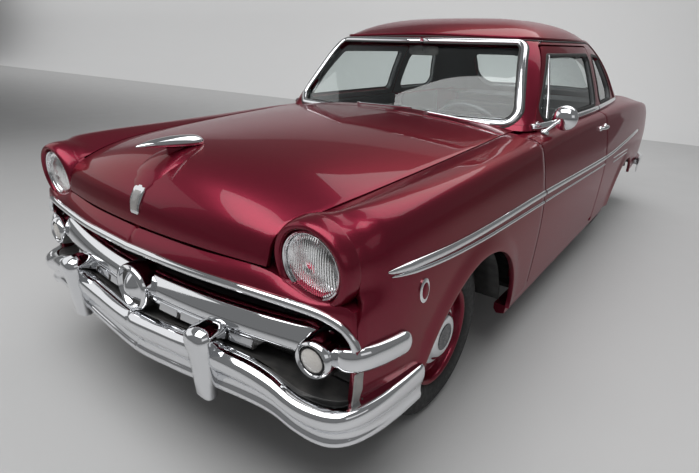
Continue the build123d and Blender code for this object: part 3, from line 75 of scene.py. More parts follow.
# Hood and deck: place and height of the centre line, lean, half width, drop of the edges
HOOD = [
    (COWL_Y, 1106, 0, 712, 58),
    (FRONT_AXLE_Y + 155, 1104, 2, 706, 80),
    (FRONT_AXLE_Y - 345, 1082, 5, 678, 92),
    (FRONT_AXLE_Y - 545, 1056, 14, 640, 95),
    (FRONT_AXLE_Y - 672, 1004, 44, 603, 84),
    (FRONT_AXLE_Y - 738, 925, 76, 586, 62),
    (FRONT_AXLE_Y - 758, 832, 88, 580, 52),
]
DECK = [
    (REAR_AXLE_Y + 240, BELT_Z + 14, 0, 700, 16),
    (REAR_AXLE_Y + 600, BELT_Z + 8, -4, 684, 18),
    (REAR_AXLE_Y + 850, BELT_Z - 22, -12, 664, 24),
    (REAR_AXLE_Y + 1030, BELT_Z - 82, -32, 648, 36),
    (REAR_AXLE_Y + 1110, BELT_Z - 170, -68, 640, 46),
    (REAR_AXLE_Y + 1132, 690, -86, 634, 52),
]
TRUNK_FRONT_Y = REAR_AXLE_Y + 610
# Greenhouse rings: height, half width, front narrowing, front place, front bow, front radius, rear likewise
RINGS = [
    (BELT_Z - 4, 818, 30, -858, 104, 110, 90, 1690, 130, 220),
    (1250, 752, 28, -708, 94, 112, 86, 1420, 118, 235),
    (RAIL_Z, 672, 26, -556, 82, 122, 80, 1075, 100, 240),
    (1522, 566, 28, -392, 70, 150, 62, 800, 80, 220),
    (1570, 390, 24, -205, 42, 130, 40, 545, 46, 160),
    (HEIGHT, 190, 12, -10, 20, 80, 18, 310, 22, 90),
]


# Shader helpers


def material(name, colour, rough=0.5, metal=0.0, **sockets):
    """A plain shader with its constant values on the sockets."""
    mat = bpy.data.materials.new(name)
    mat.use_nodes = True
    bsdf = mat.node_tree.nodes["Principled BSDF"]
    bsdf.inputs["Base Color"].default_value = (*colour, 1)
    bsdf.inputs["Roughness"].default_value = rough
    bsdf.inputs["Metallic"].default_value = metal
    for key, value in sockets.items():
        bsdf.inputs[key.replace("_", " ")].default_value = value
    return mat


def node(mat, kind, **inputs):
    """A new shader node with its input values."""
    made = mat.node_tree.nodes.new("ShaderNode" + kind)
    for key, value in inputs.items():
        made.inputs[key.replace("_", " ")].default_value = value
    return made


def link(mat, a, out, b, into):
    """Joins one node's output to another's input."""
    mat.node_tree.links.new(a.outputs[out], b.inputs[into])


def noise_into(mat, socket, scale, low, high, detail=4.0):
    """Varies one number of a material by a noise in object space, between low and high."""
    bsdf = mat.node_tree.nodes["Principled BSDF"]
    coords = node(mat, "TexCoord")
    tex = node(mat, "TexNoise", Scale=scale, Detail=detail)
    link(mat, coords, "Object", tex, "Vector")
    ramp = node(mat, "MapRange", From_Min=0.3, From_Max=0.7, To_Min=low, To_Max=high)
    link(mat, tex, "Fac", ramp, "Value")
    link(mat, ramp, "Result", bsdf, socket)


def noise_colour(mat, scale, dark, light, detail=5.0):
    """Varies a material's colour between two tones by a noise in object space."""
    bsdf = mat.node_tree.nodes["Principled BSDF"]
    coords = node(mat, "TexCoord")
    tex = node(mat, "TexNoise", Scale=scale, Detail=detail)
    link(mat, coords, "Object", tex, "Vector")
    ramp = node(mat, "ValToRGB")
    ramp.color_ramp.elements[0].position = 0.35
    ramp.color_ramp.elements[1].position = 0.65
    ramp.color_ramp.elements[0].color = (*dark, 1)
    ramp.color_ramp.elements[1].color = (*light, 1)
    link(mat, tex, "Fac", ramp, "Fac")
    link(mat, ramp, "Color", bsdf, "Base Color")


def bump(mat, kind, scale, strength, distance, **inputs):
    """A fine bump from a texture in object space."""
    bsdf = mat.node_tree.nodes["Principled BSDF"]
    coords = node(mat, "TexCoord")
    tex = node(mat, kind, Scale=scale, **inputs)
    link(mat, coords, "Object", tex, "Vector")
    made = node(mat, "Bump", Strength=strength, Distance=distance)
    link(mat, tex, "Distance" if kind == "TexVoronoi" else "Fac", made, "Height")
    link(mat, made, "Normal", bsdf, "Normal")


def paint():
    """Deep red metallic paint under a clear coat."""
    coat = {"Coat_Weight": 0.5, "Coat_Roughness": 0.025, "Coat_IOR": 1.42}
    edge = (0.62, 0.26, 0.31, 1)
    mat = material("paint_maroon", (0.23, 0.016, 0.040), 0.30, 0.75, Specular_Tint=edge, **coat)
    noise_colour(mat, 900.0, (0.15, 0.009, 0.022), (0.24, 0.016, 0.040), 2.0)
    noise_into(mat, "Roughness", 1400.0, 0.26, 0.36, 1.0)
    return mat


def chrome():
    """Bright plating, a little uneven."""
    mat = material("chrome", (0.80, 0.81, 0.83), 0.05, 1.0)
    noise_into(mat, "Roughness", 7.0, 0.03, 0.10)
    return mat


def glass(name, tint):
    """Clear or lightly tinted glass."""
    return material(name, tint, 0.0, 0.0, Transmission_Weight=1.0, IOR=1.45)


def rubber(name="black_rubber", tone=0.018):
    """Dull black rubber with a fine grain."""
    mat = material(name, (tone, tone, tone), 0.62)
    noise_into(mat, "Roughness", 60.0, 0.5, 0.75)
    bump(mat, "TexNoise", 500.0, 0.15, 0.0008)
    return mat


def dark_steel(name, tone, rough):
    """Grey or black steel with uneven tone and gloss."""
    mat = material(name, (tone, tone, tone), rough, 0.3)
    noise_colour(mat, 18.0, (tone * 0.7,) * 3, (tone * 1.3, tone * 1.25, tone * 1.2))
    noise_into(mat, "Roughness", 30.0, rough - 0.1, rough + 0.15)
    return mat


def cloth(name, dark, light):
    """Woven cloth of two tones."""
    mat = material(name, dark, 0.85, Sheen_Weight=0.35)
    noise_colour(mat, 350.0, dark, light)
    bump(mat, "TexVoronoi", 700.0, 0.4, 0.001)
    return mat


PAINT = paint()
CHROME = chrome()
CLEAR = glass("window_glass", (0.90, 0.95, 0.94))
LENS = glass("lamp_glass", (0.97, 0.98, 0.98))
RUBBER = rubber()
TYRE = rubber("tyre_rubber", 0.013)
UNDER = dark_steel("under_black", 0.030, 0.55)
IRON = dark_steel("engine_iron", 0.10, 0.6)
PAN = dark_steel("pan_grey", 0.085, 0.42)
SILVER = dark_steel("silver_grey", 0.35, 0.35)
TRIM = cloth("cabin_cloth", (0.060, 0.063, 0.070), (0.105, 0.110, 0.120))
LINER = cloth("roof_lining", (0.20, 0.205, 0.215), (0.26, 0.265, 0.275))
DASH = material("dash_grey", (0.055, 0.058, 0.064), 0.35)
bump(DASH, "TexNoise", 400.0, 0.2, 0.0006)
RED_LENS = material("lamp_red", (0.42, 0.008, 0.010), 0.08, Coat_Weight=0.6)
bump(RED_LENS, "TexVoronoi", 160.0, 0.5, 0.002)
PALE_LENS = material("lamp_clear", (0.75, 0.72, 0.68), 0.12, Coat_Weight=0.8)
bump(PALE_LENS, "TexVoronoi", 170.0, 0.6, 0.002)
REFLECTOR = material("lamp_reflector", (0.88, 0.88, 0.88), 0.3, 1.0)
noise_into(REFLECTOR, "Roughness", 40.0, 0.22, 0.38)
bump(LENS, "TexWave", 42.0, 0.35, 0.003)


# Mesh helpers


def new_piece(name, verts, faces, mat, body, slot, nodes=(), sharp=40, scale=MM):
    """A mesh piece that rides on a body. Sizes come in millimetres."""
    mesh = bpy.data.meshes.new(name)
    mesh.from_pydata([tuple(c * scale for c in v) for v in verts], [], faces)
    mesh.validate()
    mesh.shade_smooth()
    if sharp:
        mesh.set_sharp_from_angle(angle=radians(sharp))
    mesh.materials.append(mat)
    obj = bpy.data.objects.new(name, mesh)
    bpy.context.scene.collection.objects.link(obj)
    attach(obj, body)
    if nodes:
        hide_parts(*nodes)
    return obj


def outward(obj):
    """Turns a closed mesh's faces to the outside."""
    bm = bmesh.new()
    bm.from_mesh(obj.data)
    bmesh.ops.remove_doubles(bm, verts=bm.verts, dist=1e-6)
    bmesh.ops.recalc_face_normals(bm, faces=bm.faces)
    bm.to_mesh(obj.data)
    bm.free()
    return obj


def grid_faces(rows, cols, wrap_rows=False, wrap_cols=False):
    """Faces of a grid of points that is listed row by row."""
    faces = []
    for i in range(rows if wrap_rows else rows - 1):
        for j in range(cols if wrap_cols else cols - 1):
            a, b = i * cols, (i + 1) % rows * cols
            k = (j + 1) % cols
            faces.append((a + j, a + k, b + k, b + j))
    return faces


def turned(faces):
    """The same faces looking the other way."""
    return [tuple(reversed(f)) for f in faces]


def loft(rows):
    """Verts and faces of a run of closed loops, open at its ends."""
    return [v for row in rows for v in row], grid_faces(len(rows), len(rows[0]), wrap_cols=True)


def solid_grid(rows):
    """Verts and faces of a closed loft: each row is a closed loop, and the first and last are capped."""
    n = len(rows[0])
    verts, faces = loft(rows)
    faces.append(tuple(range(n)))
    faces.append(tuple(range(len(verts) - n, len(verts)))[::-1])
    return verts, faces


def joined(*parts):
    """Several meshes as one."""
    verts, faces = [], []
    for v, f in parts:
        base = len(verts)
        verts += [tuple(p) for p in v]
        faces += [tuple(i + base for i in face) for face in f]
    return verts, faces


def flipped(part):
    """The same mesh on the other side of the car."""
    verts, faces = part
    return [(-v[0], v[1], v[2]) for v in verts], turned(faces)


def both(part):
    """A mesh of the left side together with its mirror image."""
    return joined(part, flipped(part))


def as_it_is(part):
    """The mesh unchanged."""
    return part


SIDES = (("left", as_it_is), ("right", flipped))


def smooth(u):
    """An even ease from 0 to 1."""
    u = max(0.0, min(1.0, u))
    return u * u * (3 - 2 * u)


def thick(obj, thickness, rounding=2.0, offset=-1.0):
    """Gives a sheet its thickness and rounded edges."""
    wall = obj.modifiers.new("wall", "SOLIDIFY")
    wall.thickness = thickness * MM
    wall.offset = offset
    wall.use_even_offset = True
    return soften(obj, rounding, 2, 55) if rounding else obj


def soften(obj, rounding, segments=3, angle=35):
    """Rounds the edges that bend by more than an angle."""
    rim = obj.modifiers.new("rim", "BEVEL")
    rim.width = rounding * MM
    rim.segments = segments
    rim.limit_method = "ANGLE"
    rim.angle_limit = radians(angle)
    return obj


def lathe(profile, origin, axis, steps=64):
    """Verts and faces of a profile of (radius, height) turned about an axis."""
    axis = Vector(axis).normalized()
    side = axis.orthogonal().normalized()
    up = axis.cross(side)
    origin = Vector(origin)
    verts = []
    for r, h in profile:
        for k in range(steps):
            a = 2 * pi * k / steps
            verts.append(tuple(origin + axis * h + (side * cos(a) + up * sin(a)) * max(r, 0.02)))
    faces = grid_faces(len(profile), steps, wrap_cols=True)
    return verts, turned(faces)


def sweep(path, normals, profile, closed=False, scale=None):
    """A closed (across, out) profile carried along a path that has a surface normal at each point."""
    path = [Vector(p) for p in path]
    n = len(path)
    rows = []
    for i, p in enumerate(path):
        a = path[i - 1] if closed or i else path[0]
        b = path[(i + 1) % n] if closed or i < n - 1 else path[-1]
        along = (b - a).normalized()
        out = Vector(normals[i])
        out = (out - along * out.dot(along)).normalized()
        across = along.cross(out)
        s = scale[i] if scale else 1.0
        rows.append([tuple(p + across * u * s + out * w * s) for u, w in profile])
    if not closed:
        return solid_grid(rows)
    return [v for row in rows for v in row], grid_faces(n, len(profile), wrap_rows=True, wrap_cols=True)


def round_profile(width, height, steps=12):
    """A half-round trim profile of a width, standing height out of its surface."""
    pts = [(width / 2 * cos(pi * k / steps), height * sin(pi * k / steps)) for k in range(steps + 1)]
    return pts + [(-width / 2, -2), (width / 2, -2)]


def oval(across, out, steps=12):
    """A closed oval profile of two half sizes."""
    return [(across * cos(2 * pi * k / steps), out * sin(2 * pi * k / steps)) for k in range(steps)]


def through(p0, p1, p2, p3, t):
    """A point between p1 and p2 on a smooth line through all four."""
    t1 = max((p1 - p0).length, 1e-6) ** 0.5
    t2 = t1 + max((p2 - p1).length, 1e-6) ** 0.5
    t3 = t2 + max((p3 - p2).length, 1e-6) ** 0.5
    t = t1 + (t2 - t1) * t
    a1 = p0 * ((t1 - t) / t1) + p1 * (t / t1)
    a2 = p1 * ((t2 - t) / (t2 - t1)) + p2 * ((t - t1) / (t2 - t1))
    a3 = p2 * ((t3 - t) / (t3 - t2)) + p3 * ((t - t2) / (t3 - t2))
    b1 = a1 * ((t2 - t) / t2) + a2 * (t / t2)
    b2 = a2 * ((t3 - t) / (t3 - t1)) + a3 * ((t - t1) / (t3 - t1))
    return b1 * ((t2 - t) / (t2 - t1)) + b2 * ((t - t1) / (t2 - t1))


def spline(points, count):
    """Evenly spaced points on a smooth line through the given ones."""
    pts = [Vector(p) for p in points]
    ends = [2 * pts[0] - pts[1]] + pts + [2 * pts[-1] - pts[-2]]
    dense = []
    for i in range(1, len(ends) - 2):
        dense += [through(*ends[i - 1 : i + 3], k / 24) for k in range(24)]
    dense.append(pts[-1])
    return even(dense, count)


def even(points, count):
    """The same line with evenly spaced points."""
    run = [0.0]
    for a, b in zip(points, points[1:]):
        run.append(run[-1] + (b - a).length)
    out, i = [], 0
    for k in range(count):
        d = run[-1] * k / (count - 1)
        while i < len(run) - 2 and run[i + 1] < d:
            i += 1
        span = max(run[i + 1] - run[i], 1e-9)
        out.append(points[i].lerp(points[i + 1], min(1.0, max(0.0, (d - run[i]) / span))))
    return out


def table_at(rows, y):
    """A table's columns at a place, by a smooth cubic through its rows."""
    ys = [row[0] for row in rows]
    i = max(0, min(len(ys) - 2, sum(1 for v in ys if v <= y) - 1))
    span = ys[i + 1] - ys[i]
    u = (y - ys[i]) / span

    def slope(k, column):
        a, b = max(0, k - 1), min(len(ys) - 1, k + 1)
        return (rows[b][column] - rows[a][column]) / (ys[b] - ys[a]) * span

    out = []
    for c in range(1, len(rows[0])):
        p, q, m, n = rows[i][c], rows[i + 1][c], slope(i, c), slope(i + 1, c)
        out.append(
            p * (1 + 2 * u) * (1 - u) ** 2 + m * u * (1 - u) ** 2 + q * u * u * (3 - 2 * u) + n * u * u * (u - 1)
        )
    return out


def even_stations(strip, count):
    """Stations at even steps along a strip's centre line."""
    rows, run = [], 0
    for i, row in enumerate(strip):
        if i:
            run += hypot(row[0] - strip[i - 1][0], row[1] - strip[i - 1][1])
        rows.append((run, *row))
    return [tuple(table_at(rows, run * k / (count - 1))) for k in range(count)]


def edge_rows(strip):
    """Place, half width and height of a strip's edge at its stations."""
    rows = []
    for y, z, lean, half, sag in strip:
        rows.append((y + sag * sin(radians(lean)), half, z - sag * cos(radians(lean))))
    return sorted(rows)


HOOD_EDGE = edge_rows(even_stations(HOOD, 13))
DECK_EDGE = edge_rows(even_stations(DECK, 9))


# The body side


def inner_edge(y):
    """Half width and height at which the body side meets the hood, the cabin or the deck."""
    if y < COWL_Y:
        half, height = table_at(HOOD_EDGE, max(y, HOOD_EDGE[1][0]))
        return half + SHUT_GAP, height
    if y > DECK_EDGE[0][0]:
        half, height = table_at(DECK_EDGE, min(y, DECK_EDGE[-2][0]))
        return half + SHUT_GAP, height
    if y < DOOR_FRONT_Y + 1:
        return HOOD_EDGE[-1][1] + SHUT_GAP, HOOD_EDGE[-1][2]
    return DECK_EDGE[0][1] + SHUT_GAP, BELT_Z - 2


FRONT_ARCH = (FRONT_AXLE_Y + 43, 290, 420)
REAR_ARCH = (REAR_AXLE_Y, 190, 415)
LAMP_X, LAMP_Z, NACELLE_RADIUS = 724, 864, 138
LAMP_WALL_Y = FENDER_FRONT_Y + 32
LAMP_BLEND = 100
NACELLE_LOW_Z, NACELLE_RISE = 755, 80
LEAN_RUN, LEAN_LOW_Z, LEAN_RISE = 140, 735, 60
FLARE_WIDTH = 85
FLARE_OUT = 12


def flare(y, z):
    """How far the skin swells round a wheel arch."""
    out = 0.0
    for yc, zc, r in (FRONT_ARCH, REAR_ARCH):
        d = hypot(y - yc, z - zc) - r
        if z > zc and d < FLARE_WIDTH:
            out = max(out, FLARE_OUT * smooth(1 - max(d, 0) / FLARE_WIDTH))
    return out


def upright(y):
    """The body side's outer line at one place, as a dense smooth run of points from foot to inner edge."""
    sill, widest, sx, sz, cx, cz = table_at(SIDE, y)
    ix, iz = inner_edge(y)
    turn = (cx + 0.72 * (sx - cx), sz + 0.74 * (cz - sz))
    keys = [
        (sill, FENDER_BOTTOM_Z),
        (sill + 0.72 * (widest - sill), 500),
        (widest, WIDEST_Z),
        (widest + 0.42 * (sx - widest), 0.5 * (WIDEST_Z + sz) + 24),
        (sx, sz),
        turn,
        (cx, cz),
        (0.5 * (cx + ix), 0.5 * (cz + iz) + 3),
        (ix, iz),
    ]
    pts = spline([(x, y, z) for x, z in keys], 160)
    for p in pts[:110]:
        p.x += flare(y, p.z)
    near = smooth((LAMP_WALL_Y + LAMP_BLEND - y) / LAMP_BLEND)
    if near > 0:
        for p in pts:
            out = Vector((p.x - LAMP_X, 0, p.z - LAMP_Z))
            goal = Vector((LAMP_X, y, LAMP_Z)) + out.normalized() * NACELLE_RADIUS
            p.xyz = p.lerp(goal, near * smooth((p.z - NACELLE_LOW_Z) / NACELLE_RISE))
    return pts


def section(y):
    """The same line, leant back above the lip so that it ends behind the headlamp's rim."""
    back = (LAMP_WALL_Y - FENDER_FRONT_Y) * max(0.0, 1 - (y - FENDER_FRONT_Y) / LEAN_RUN)
    if back <= 0:
        return upright(y)
    fan = [upright(y + back * k / 4) for k in range(5)]
    out = []
    for k, p in enumerate(fan[0]):
        rise = max(0.0, min(1.0, (p.z - LEAN_LOW_Z) / LEAN_RISE))
        i = min(3, int(rise * 4))
        out.append(fan[i][k].lerp(fan[i + 1][k], rise * 4 - i))
    return out


def cut_line(line, low):
    """The run of a section above a height on its outer side."""
    i = next(k for k in range(len(line) - 1) if line[k + 1].z >= low)
    a, b = line[i], line[i + 1]
    u = max(0.0, min(1.0, (low - a.z) / max(b.z - a.z, 1e-6)))
    return [a.lerp(b, u)] + line[i + 1 :]


def skin_point(y, z, lift=0.0):
    """A point on the outer side at a height, raised out of the surface, with its normal."""
    here = cut_line(section(y), z)[0]
    up = cut_line(section(y), z + 8)[0] - here
    along = cut_line(section(y + 8), z)[0] - here
    n = along.cross(up).normalized()
    if n.x < 0:
        n = -n
    return here + n * lift, n


def arch_low(y, arch, floor):
    """A panel's lower edge, which rises over a wheel arch."""
    yc, zc, r = arch
    d = r * r - (y - yc) ** 2
    return max(floor, zc + sqrt(d)) if d > 0 else floor


def columns(y0, y1, arch, floor, step=36):
    """Places along a panel, closer together where its wheel arch is steep."""
    yc, zc, r = arch
    half = sqrt(r * r - (floor - zc) ** 2)
    ys = [yc + half * cos(pi * k / 44) for k in range(45)]
    for a, b in ((y0, yc - half), (yc + half, y1)):
        n = max(1, int((b - a) / step))
        ys += [a + (b - a) * k / n for k in range(n + 1)]
    ys = sorted(y for y in ys if y0 - 0.01 <= y <= y1 + 0.01)
    return [y for i, y in enumerate(ys) if i == 0 or y - ys[i - 1] > 0.5]


def side_sheet(ys, low_at, rows=46):
    """The skin of the body side over some places, above a lower edge."""
    verts = []
    for y in ys:
        line = cut_line(section(y), low_at(y))
        verts += [tuple(p) for p in even(line, rows)]
    return verts, turned(grid_faces(len(ys), rows))


# Strips over the hood and the deck


def strip_point(station, u):
    """A point across a strip's station, u from -1 to 1, on an arc that drops by the station's sag."""
    y, z, lean, half, sag = station
    r = (half * half + sag * sag) / (2 * sag)
    x = u * half
    drop = r - sqrt(r * r - x * x)
    return Vector((x, y + drop * sin(radians(lean)), z - drop * cos(radians(lean))))


def strip_sheet(stations, cols=61):
    """The skin of a strip over its stations."""
    verts = []
    for st in stations:
        for k in range(cols):
            verts.append(tuple(strip_point(st, -1 + 2 * k / (cols - 1))))
    return verts, grid_faces(len(stations), cols)


def strip_between(strip, y0, y1, count):
    """Even stations of a strip between two places."""
    rows = even_stations(strip, 60)
    inside = [r for r in rows if y0 < r[0] < y1]
    first, last = (y0, *table_at(strip, y0)), (y1, *table_at(strip, y1))
    rows = [first] + inside + [last]
    return even_stations(rows, count)


# The greenhouse


# Shares of the half ring from the front middle to the rear middle at which its key points lie
RING_SHARES = (0.0, 0.095, 0.19, 0.215, 0.24, 0.50, 0.76, 0.805, 0.85, 0.925, 1.0)


def ring_keys(row):
    """Key points of the left half of a level ring, with one more beyond each end."""
    z, half, front_in, yf, bf, rf, rear_in, yr, br, rr = row
    xf, xr = half - front_in, half - rear_in
    c = 0.29
    fx, rx = xf - rf, xr - rr
    keys = [
        (0, yf - bf),
        (0.5 * fx, yf - 0.75 * bf),
        (fx, yf),
        (xf - c * rf, yf + c * rf),
        (xf, yf + rf),
        (half, (yf + yr) / 2),
        (xr, yr - rr),
        (xr - c * rr, yr - c * rr),
        (rx, yr),
        (0.5 * rx, yr + 0.75 * br),
        (0, yr + br),
    ]
    first, last = (-keys[1][0], keys[1][1]), (-keys[-2][0], keys[-2][1])
    return z, [Vector((*p, 0)) for p in [first] + keys + [last]]


def ring_point(keys, s):
    """A point on the left half of a ring, s from 0 at the front middle to 1 at the rear middle."""
    z, pts = keys
    k = min(9, sum(1 for v in RING_SHARES[1:] if s >= v))
    t = (s - RING_SHARES[k]) / (RING_SHARES[k + 1] - RING_SHARES[k])
    p = through(*pts[k : k + 4], t)
    p.z = z
    return p


RING_RUN = [0.0]
for low, high in zip(RINGS, RINGS[1:]):
    RING_RUN.append(RING_RUN[-1] + hypot(high[0] - low[0], 0.5 * (high[1] - low[1]) + 0.25 * (low[3] - high[3])))
RING_TABLE = [(run, *row) for run, row in zip(RING_RUN, RINGS)]


KEPT = {}


def keys_at_run(v):
    """The corner values of the ring at a height, worked out once."""
    if v not in KEPT:
        KEPT[v] = ring_keys(table_at(RING_TABLE, v))
    return KEPT[v]


def run_at_height(z):
    """The greenhouse parameter at which the rings reach a height."""
    low, high = -40.0, RING_RUN[-1]
    for _ in range(40):
        mid = (low + high) / 2
        if table_at(RING_TABLE, mid)[0] < z:
            low = mid
        else:
            high = mid
    return (low + high) / 2


def dome(s, v, inset=0.0):
    """A point of the greenhouse: s round the half ring (negative on the right), v up it, moved inwards."""
    p = ring_point(keys_at_run(v), abs(s))
    if s < 0:
        p.x = -p.x
    if inset:
        p = p - dome_normal(s, v) * inset
    return p


def dome_normal(s, v):
    """The way out of the greenhouse's skin."""
    e = 0.004
    a = dome(max(-1.0, s - e), v)
    b = dome(min(1.0, s + e), v)
    c, d = dome(s, v - 4), dome(s, v + 4)
    n = (b - a).cross(d - c)
    return n.normalized() if n.length else Vector((0, 0, 1))


def s_for(v, axis, value, low, high):
    """Where round the half ring a coordinate takes a value, between two shares."""
    row = keys_at_run(v)
    a = ring_point(row, low)[axis] < value
    for _ in range(36):
        mid = (low + high) / 2
        if (ring_point(row, mid)[axis] < value) == a:
            low = mid
        else:
            high = mid
    return (low + high) / 2


def rounded(points, radius, steps=8):
    """A polygon with its corners turned into arcs."""
    out = []
    n = len(points)
    for i in range(n):
        p = Vector((*points[i], 0))
        a = (Vector((*points[i - 1], 0)) - p).normalized()
        b = (Vector((*points[(i + 1) % n], 0)) - p).normalized()
        half = acos(max(-1, min(1, a.dot(b)))) / 2
        reach = min(radius / tan(half), 0.48 * (Vector((*points[i - 1], 0)) - p).length)
        reach = min(reach, 0.48 * (Vector((*points[(i + 1) % n], 0)) - p).length)
        r = reach * tan(half)
        centre = p + (a + b).normalized() * (r / sin(half))
        start, end = p + a * reach - centre, p + b * reach - centre
        turn = start.angle(end)
        side = 1 if start.cross(end).z > 0 else -1
        for k in range(steps + 1):
            out.append(tuple((centre + Matrix.Rotation(side * turn * k / steps, 3, "Z") @ start).xy))
    return out


def densify(points, step=30):
    """A closed outline with points no further apart than step."""
    out = []
    for i, a in enumerate(points):
        b = points[(i + 1) % len(points)]
        n = max(1, int(hypot(b[0] - a[0], b[1] - a[1]) / step))
        out += [(a[0] + (b[0] - a[0]) * k / n, a[1] + (b[1] - a[1]) * k / n) for k in range(n)]
    return out


# Shares of the half ring that its front, its rear and its side take up
FRONT_SHARES, REAR_SHARES, SIDE_SHARES = (0.0, 0.24), (1.0, 0.76), (0.05, 0.95)


def to_end(points, shares):
    """A front or rear view outline of (x, z) points in the dome's parameters."""
    out = []
    for x, z in points:
        v = run_at_height(z)
        s = s_for(v, 0, abs(x), *shares)
        out.append((s if x >= 0 else -s, v))
    return out


def to_side(points):
    """A side view outline of (y, z) points in the dome's parameters."""
    places = [(y, run_at_height(z)) for y, z in points]
    return [(s_for(v, 1, y, *SIDE_SHARES), v) for y, v in places]


def inside(p, poly):
    """Whether a point lies inside a closed outline."""
    hit = False
    for i, a in enumerate(poly):
        b = poly[i - 1]
        if (a[1] > p[1]) != (b[1] > p[1]) and p[0] < (b[0] - a[0]) * (p[1] - a[1]) / (b[1] - a[1]) + a[0]:
            hit = not hit
    return hit


# A length to weigh the way round the rings against the way up them
ROUND = 3000.0


def dome_shell(outlines, holes, outer, depth, step=45):
    """A closed shell on the greenhouse between outlines and holes, from outer inwards by depth."""
    rims = [densify([(s * ROUND, v) for s, v in o], step * 0.8) for o in outlines]
    cuts = [densify([(s * ROUND, v) for s, v in h], step * 0.6) for h in holes]
    pts, edges = [], []
    for loop in rims + cuts:
        base = len(pts)
        pts += [Vector(p) for p in loop]
        edges += [(base + i, base + (i + 1) % len(loop)) for i in range(len(loop))]
    fixed = list(pts)
    lo = [min(p[0] for r in rims for p in r), min(p[1] for r in rims for p in r)]
    hi = [max(p[0] for r in rims for p in r), max(p[1] for r in rims for p in r)]
    for i in range(int((hi[0] - lo[0]) / step) + 1):
        for j in range(int((hi[1] - lo[1]) / step) + 1):
            p = Vector((lo[0] + (i + 0.5) * step, lo[1] + (j + 0.5) * step))
            if any(inside(p, r) for r in rims) and not any(inside(p, c) for c in cuts):
                if all((p - q).length_squared > (0.42 * step) ** 2 for q in fixed):
                    pts.append(p)
    made, _, tris, _, _, _ = delaunay_2d_cdt(pts, edges, [], 0, 1e-5)
    kept = []
    for t in tris:
        mid = sum((made[i] for i in t), Vector((0, 0))) / len(t)
        if any(inside(mid, r) for r in rims) and not any(inside(mid, c) for c in cuts):
            kept.append(tuple(t))
    n = len(made)
    verts = [tuple(dome(p.x / ROUND, p.y, outer)) for p in made]
    verts += [tuple(dome(p.x / ROUND, p.y, outer + depth)) for p in made]
    faces = kept + [tuple(n + i for i in reversed(t)) for t in kept]
    seen = dict.fromkeys((a, b) for t in kept for a, b in zip(t, t[1:] + t[:1]))
    faces += [(b, a, n + a, n + b) for a, b in seen if (b, a) not in seen]
    return verts, faces


def window_pane(outline):
    """A sheet of glass a little inside the greenhouse's skin."""
    return dome_shell([outline], [], GLASS_INSET, GLASS, 60)


def closed_at(line, share):
    """Half an outline in order of height, closed at a share round the ring."""
    line = sorted(line, key=lambda p: p[1])
    return [(share, line[0][1])] + line + [(share, line[-1][1])]


WINDOW_SILL_Z = BELT_Z + 40
DOOR_TOP_Z = RAIL_Z - 4
A_FOOT_Y, A_TOP_Y = COWL_Y + 235, COWL_Y + 571
QUARTER_FRONT_Y = DOOR_REAR_Y + 86
QUARTER_WINDOW = [
    (QUARTER_FRONT_Y, WINDOW_SILL_Z), (QUARTER_FRONT_Y, RAIL_Z - 46), (820, RAIL_Z - 66), (1010, WINDOW_SILL_Z),
]
WINDSHIELD = [(-716, BELT_Z + 26), (-590, RAIL_Z + 12), (590, RAIL_Z + 12), (716, BELT_Z + 26)]
REAR_WINDOW = [(-580, BELT_Z + 40), (-440, RAIL_Z - 42), (440, RAIL_Z - 42), (580, BELT_Z + 40)]


FRAME_WIDTH = 44
DOOR_WINDOW_LINE = [
    (A_FOOT_Y + 62, WINDOW_SILL_Z), (A_TOP_Y + 22, DOOR_TOP_Z - FRAME_WIDTH),
    (DOOR_REAR_Y - FRAME_WIDTH, DOOR_TOP_Z - FRAME_WIDTH), (DOOR_REAR_Y - FRAME_WIDTH, WINDOW_SILL_Z),
]


def door_frame_line(grow=0, foot=BELT_Z + 1):
    """The door frame's outline in side view, grown by a gap."""
    return [
        (A_FOOT_Y - 1.3 * grow, foot),
        (A_TOP_Y - 1.3 * grow, DOOR_TOP_Z + grow),
        (DOOR_REAR_Y + grow, DOOR_TOP_Z + grow),
        (DOOR_REAR_Y + grow, foot),
    ]


def mirrored_line(line):
    """An outline on the other side of the car."""
    return [(-s, v) for s, v in reversed(line)]


# Outlines of the openings on the greenhouse, in its own parameters
SHIELD = to_end(densify(rounded(WINDSHIELD, 60)), FRONT_SHARES)
BACKLIGHT = to_end([p for p in densify(rounded(REAR_WINDOW, 110)) if p[0] > 0.5], REAR_SHARES)
QUARTER = to_side(densify(rounded(QUARTER_WINDOW, 60)))
DOORWAY = to_side(densify(rounded(door_frame_line(SWING_GAP, BELT_Z - 60), 30)))
DOOR_FRAME = to_side(densify(rounded(door_frame_line(0, BELT_Z - 10), 26)))
DOOR_WINDOW = to_side(densify(rounded(DOOR_WINDOW_LINE, 40)))

BASE_V = run_at_height(BELT_Z + 1)
TOP_V = RING_RUN[-1]


# Painted body


def fender_low(y):
    """The front fender's lower edge, higher in front of its wheel."""
    return arch_low(y, FRONT_ARCH, NOSE_BOTTOM_Z if y < FRONT_AXLE_Y else FENDER_BOTTOM_Z)


def front_fender():
    """The front fender's skin."""
    ys = columns(FENDER_FRONT_Y, DOOR_FRONT_Y - SWING_GAP, FRONT_ARCH, FENDER_BOTTOM_Z)
    return side_sheet(ys, fender_low)


def rear_quarter():
    """The quarter panel's skin."""
    ys = columns(DOOR_REAR_Y + SWING_GAP, TAIL_Y, REAR_ARCH, FENDER_BOTTOM_Z)
    return side_sheet(ys, quarter_low)


def quarter_low(y):
    """The quarter panel's lower edge, which rises over the rear bumper."""
    tail = 420 + 85 * smooth((y - TAIL_Y + 330) / 190)
    return arch_low(y, REAR_ARCH, tail if y > REAR_AXLE_Y else FENDER_BOTTOM_Z)


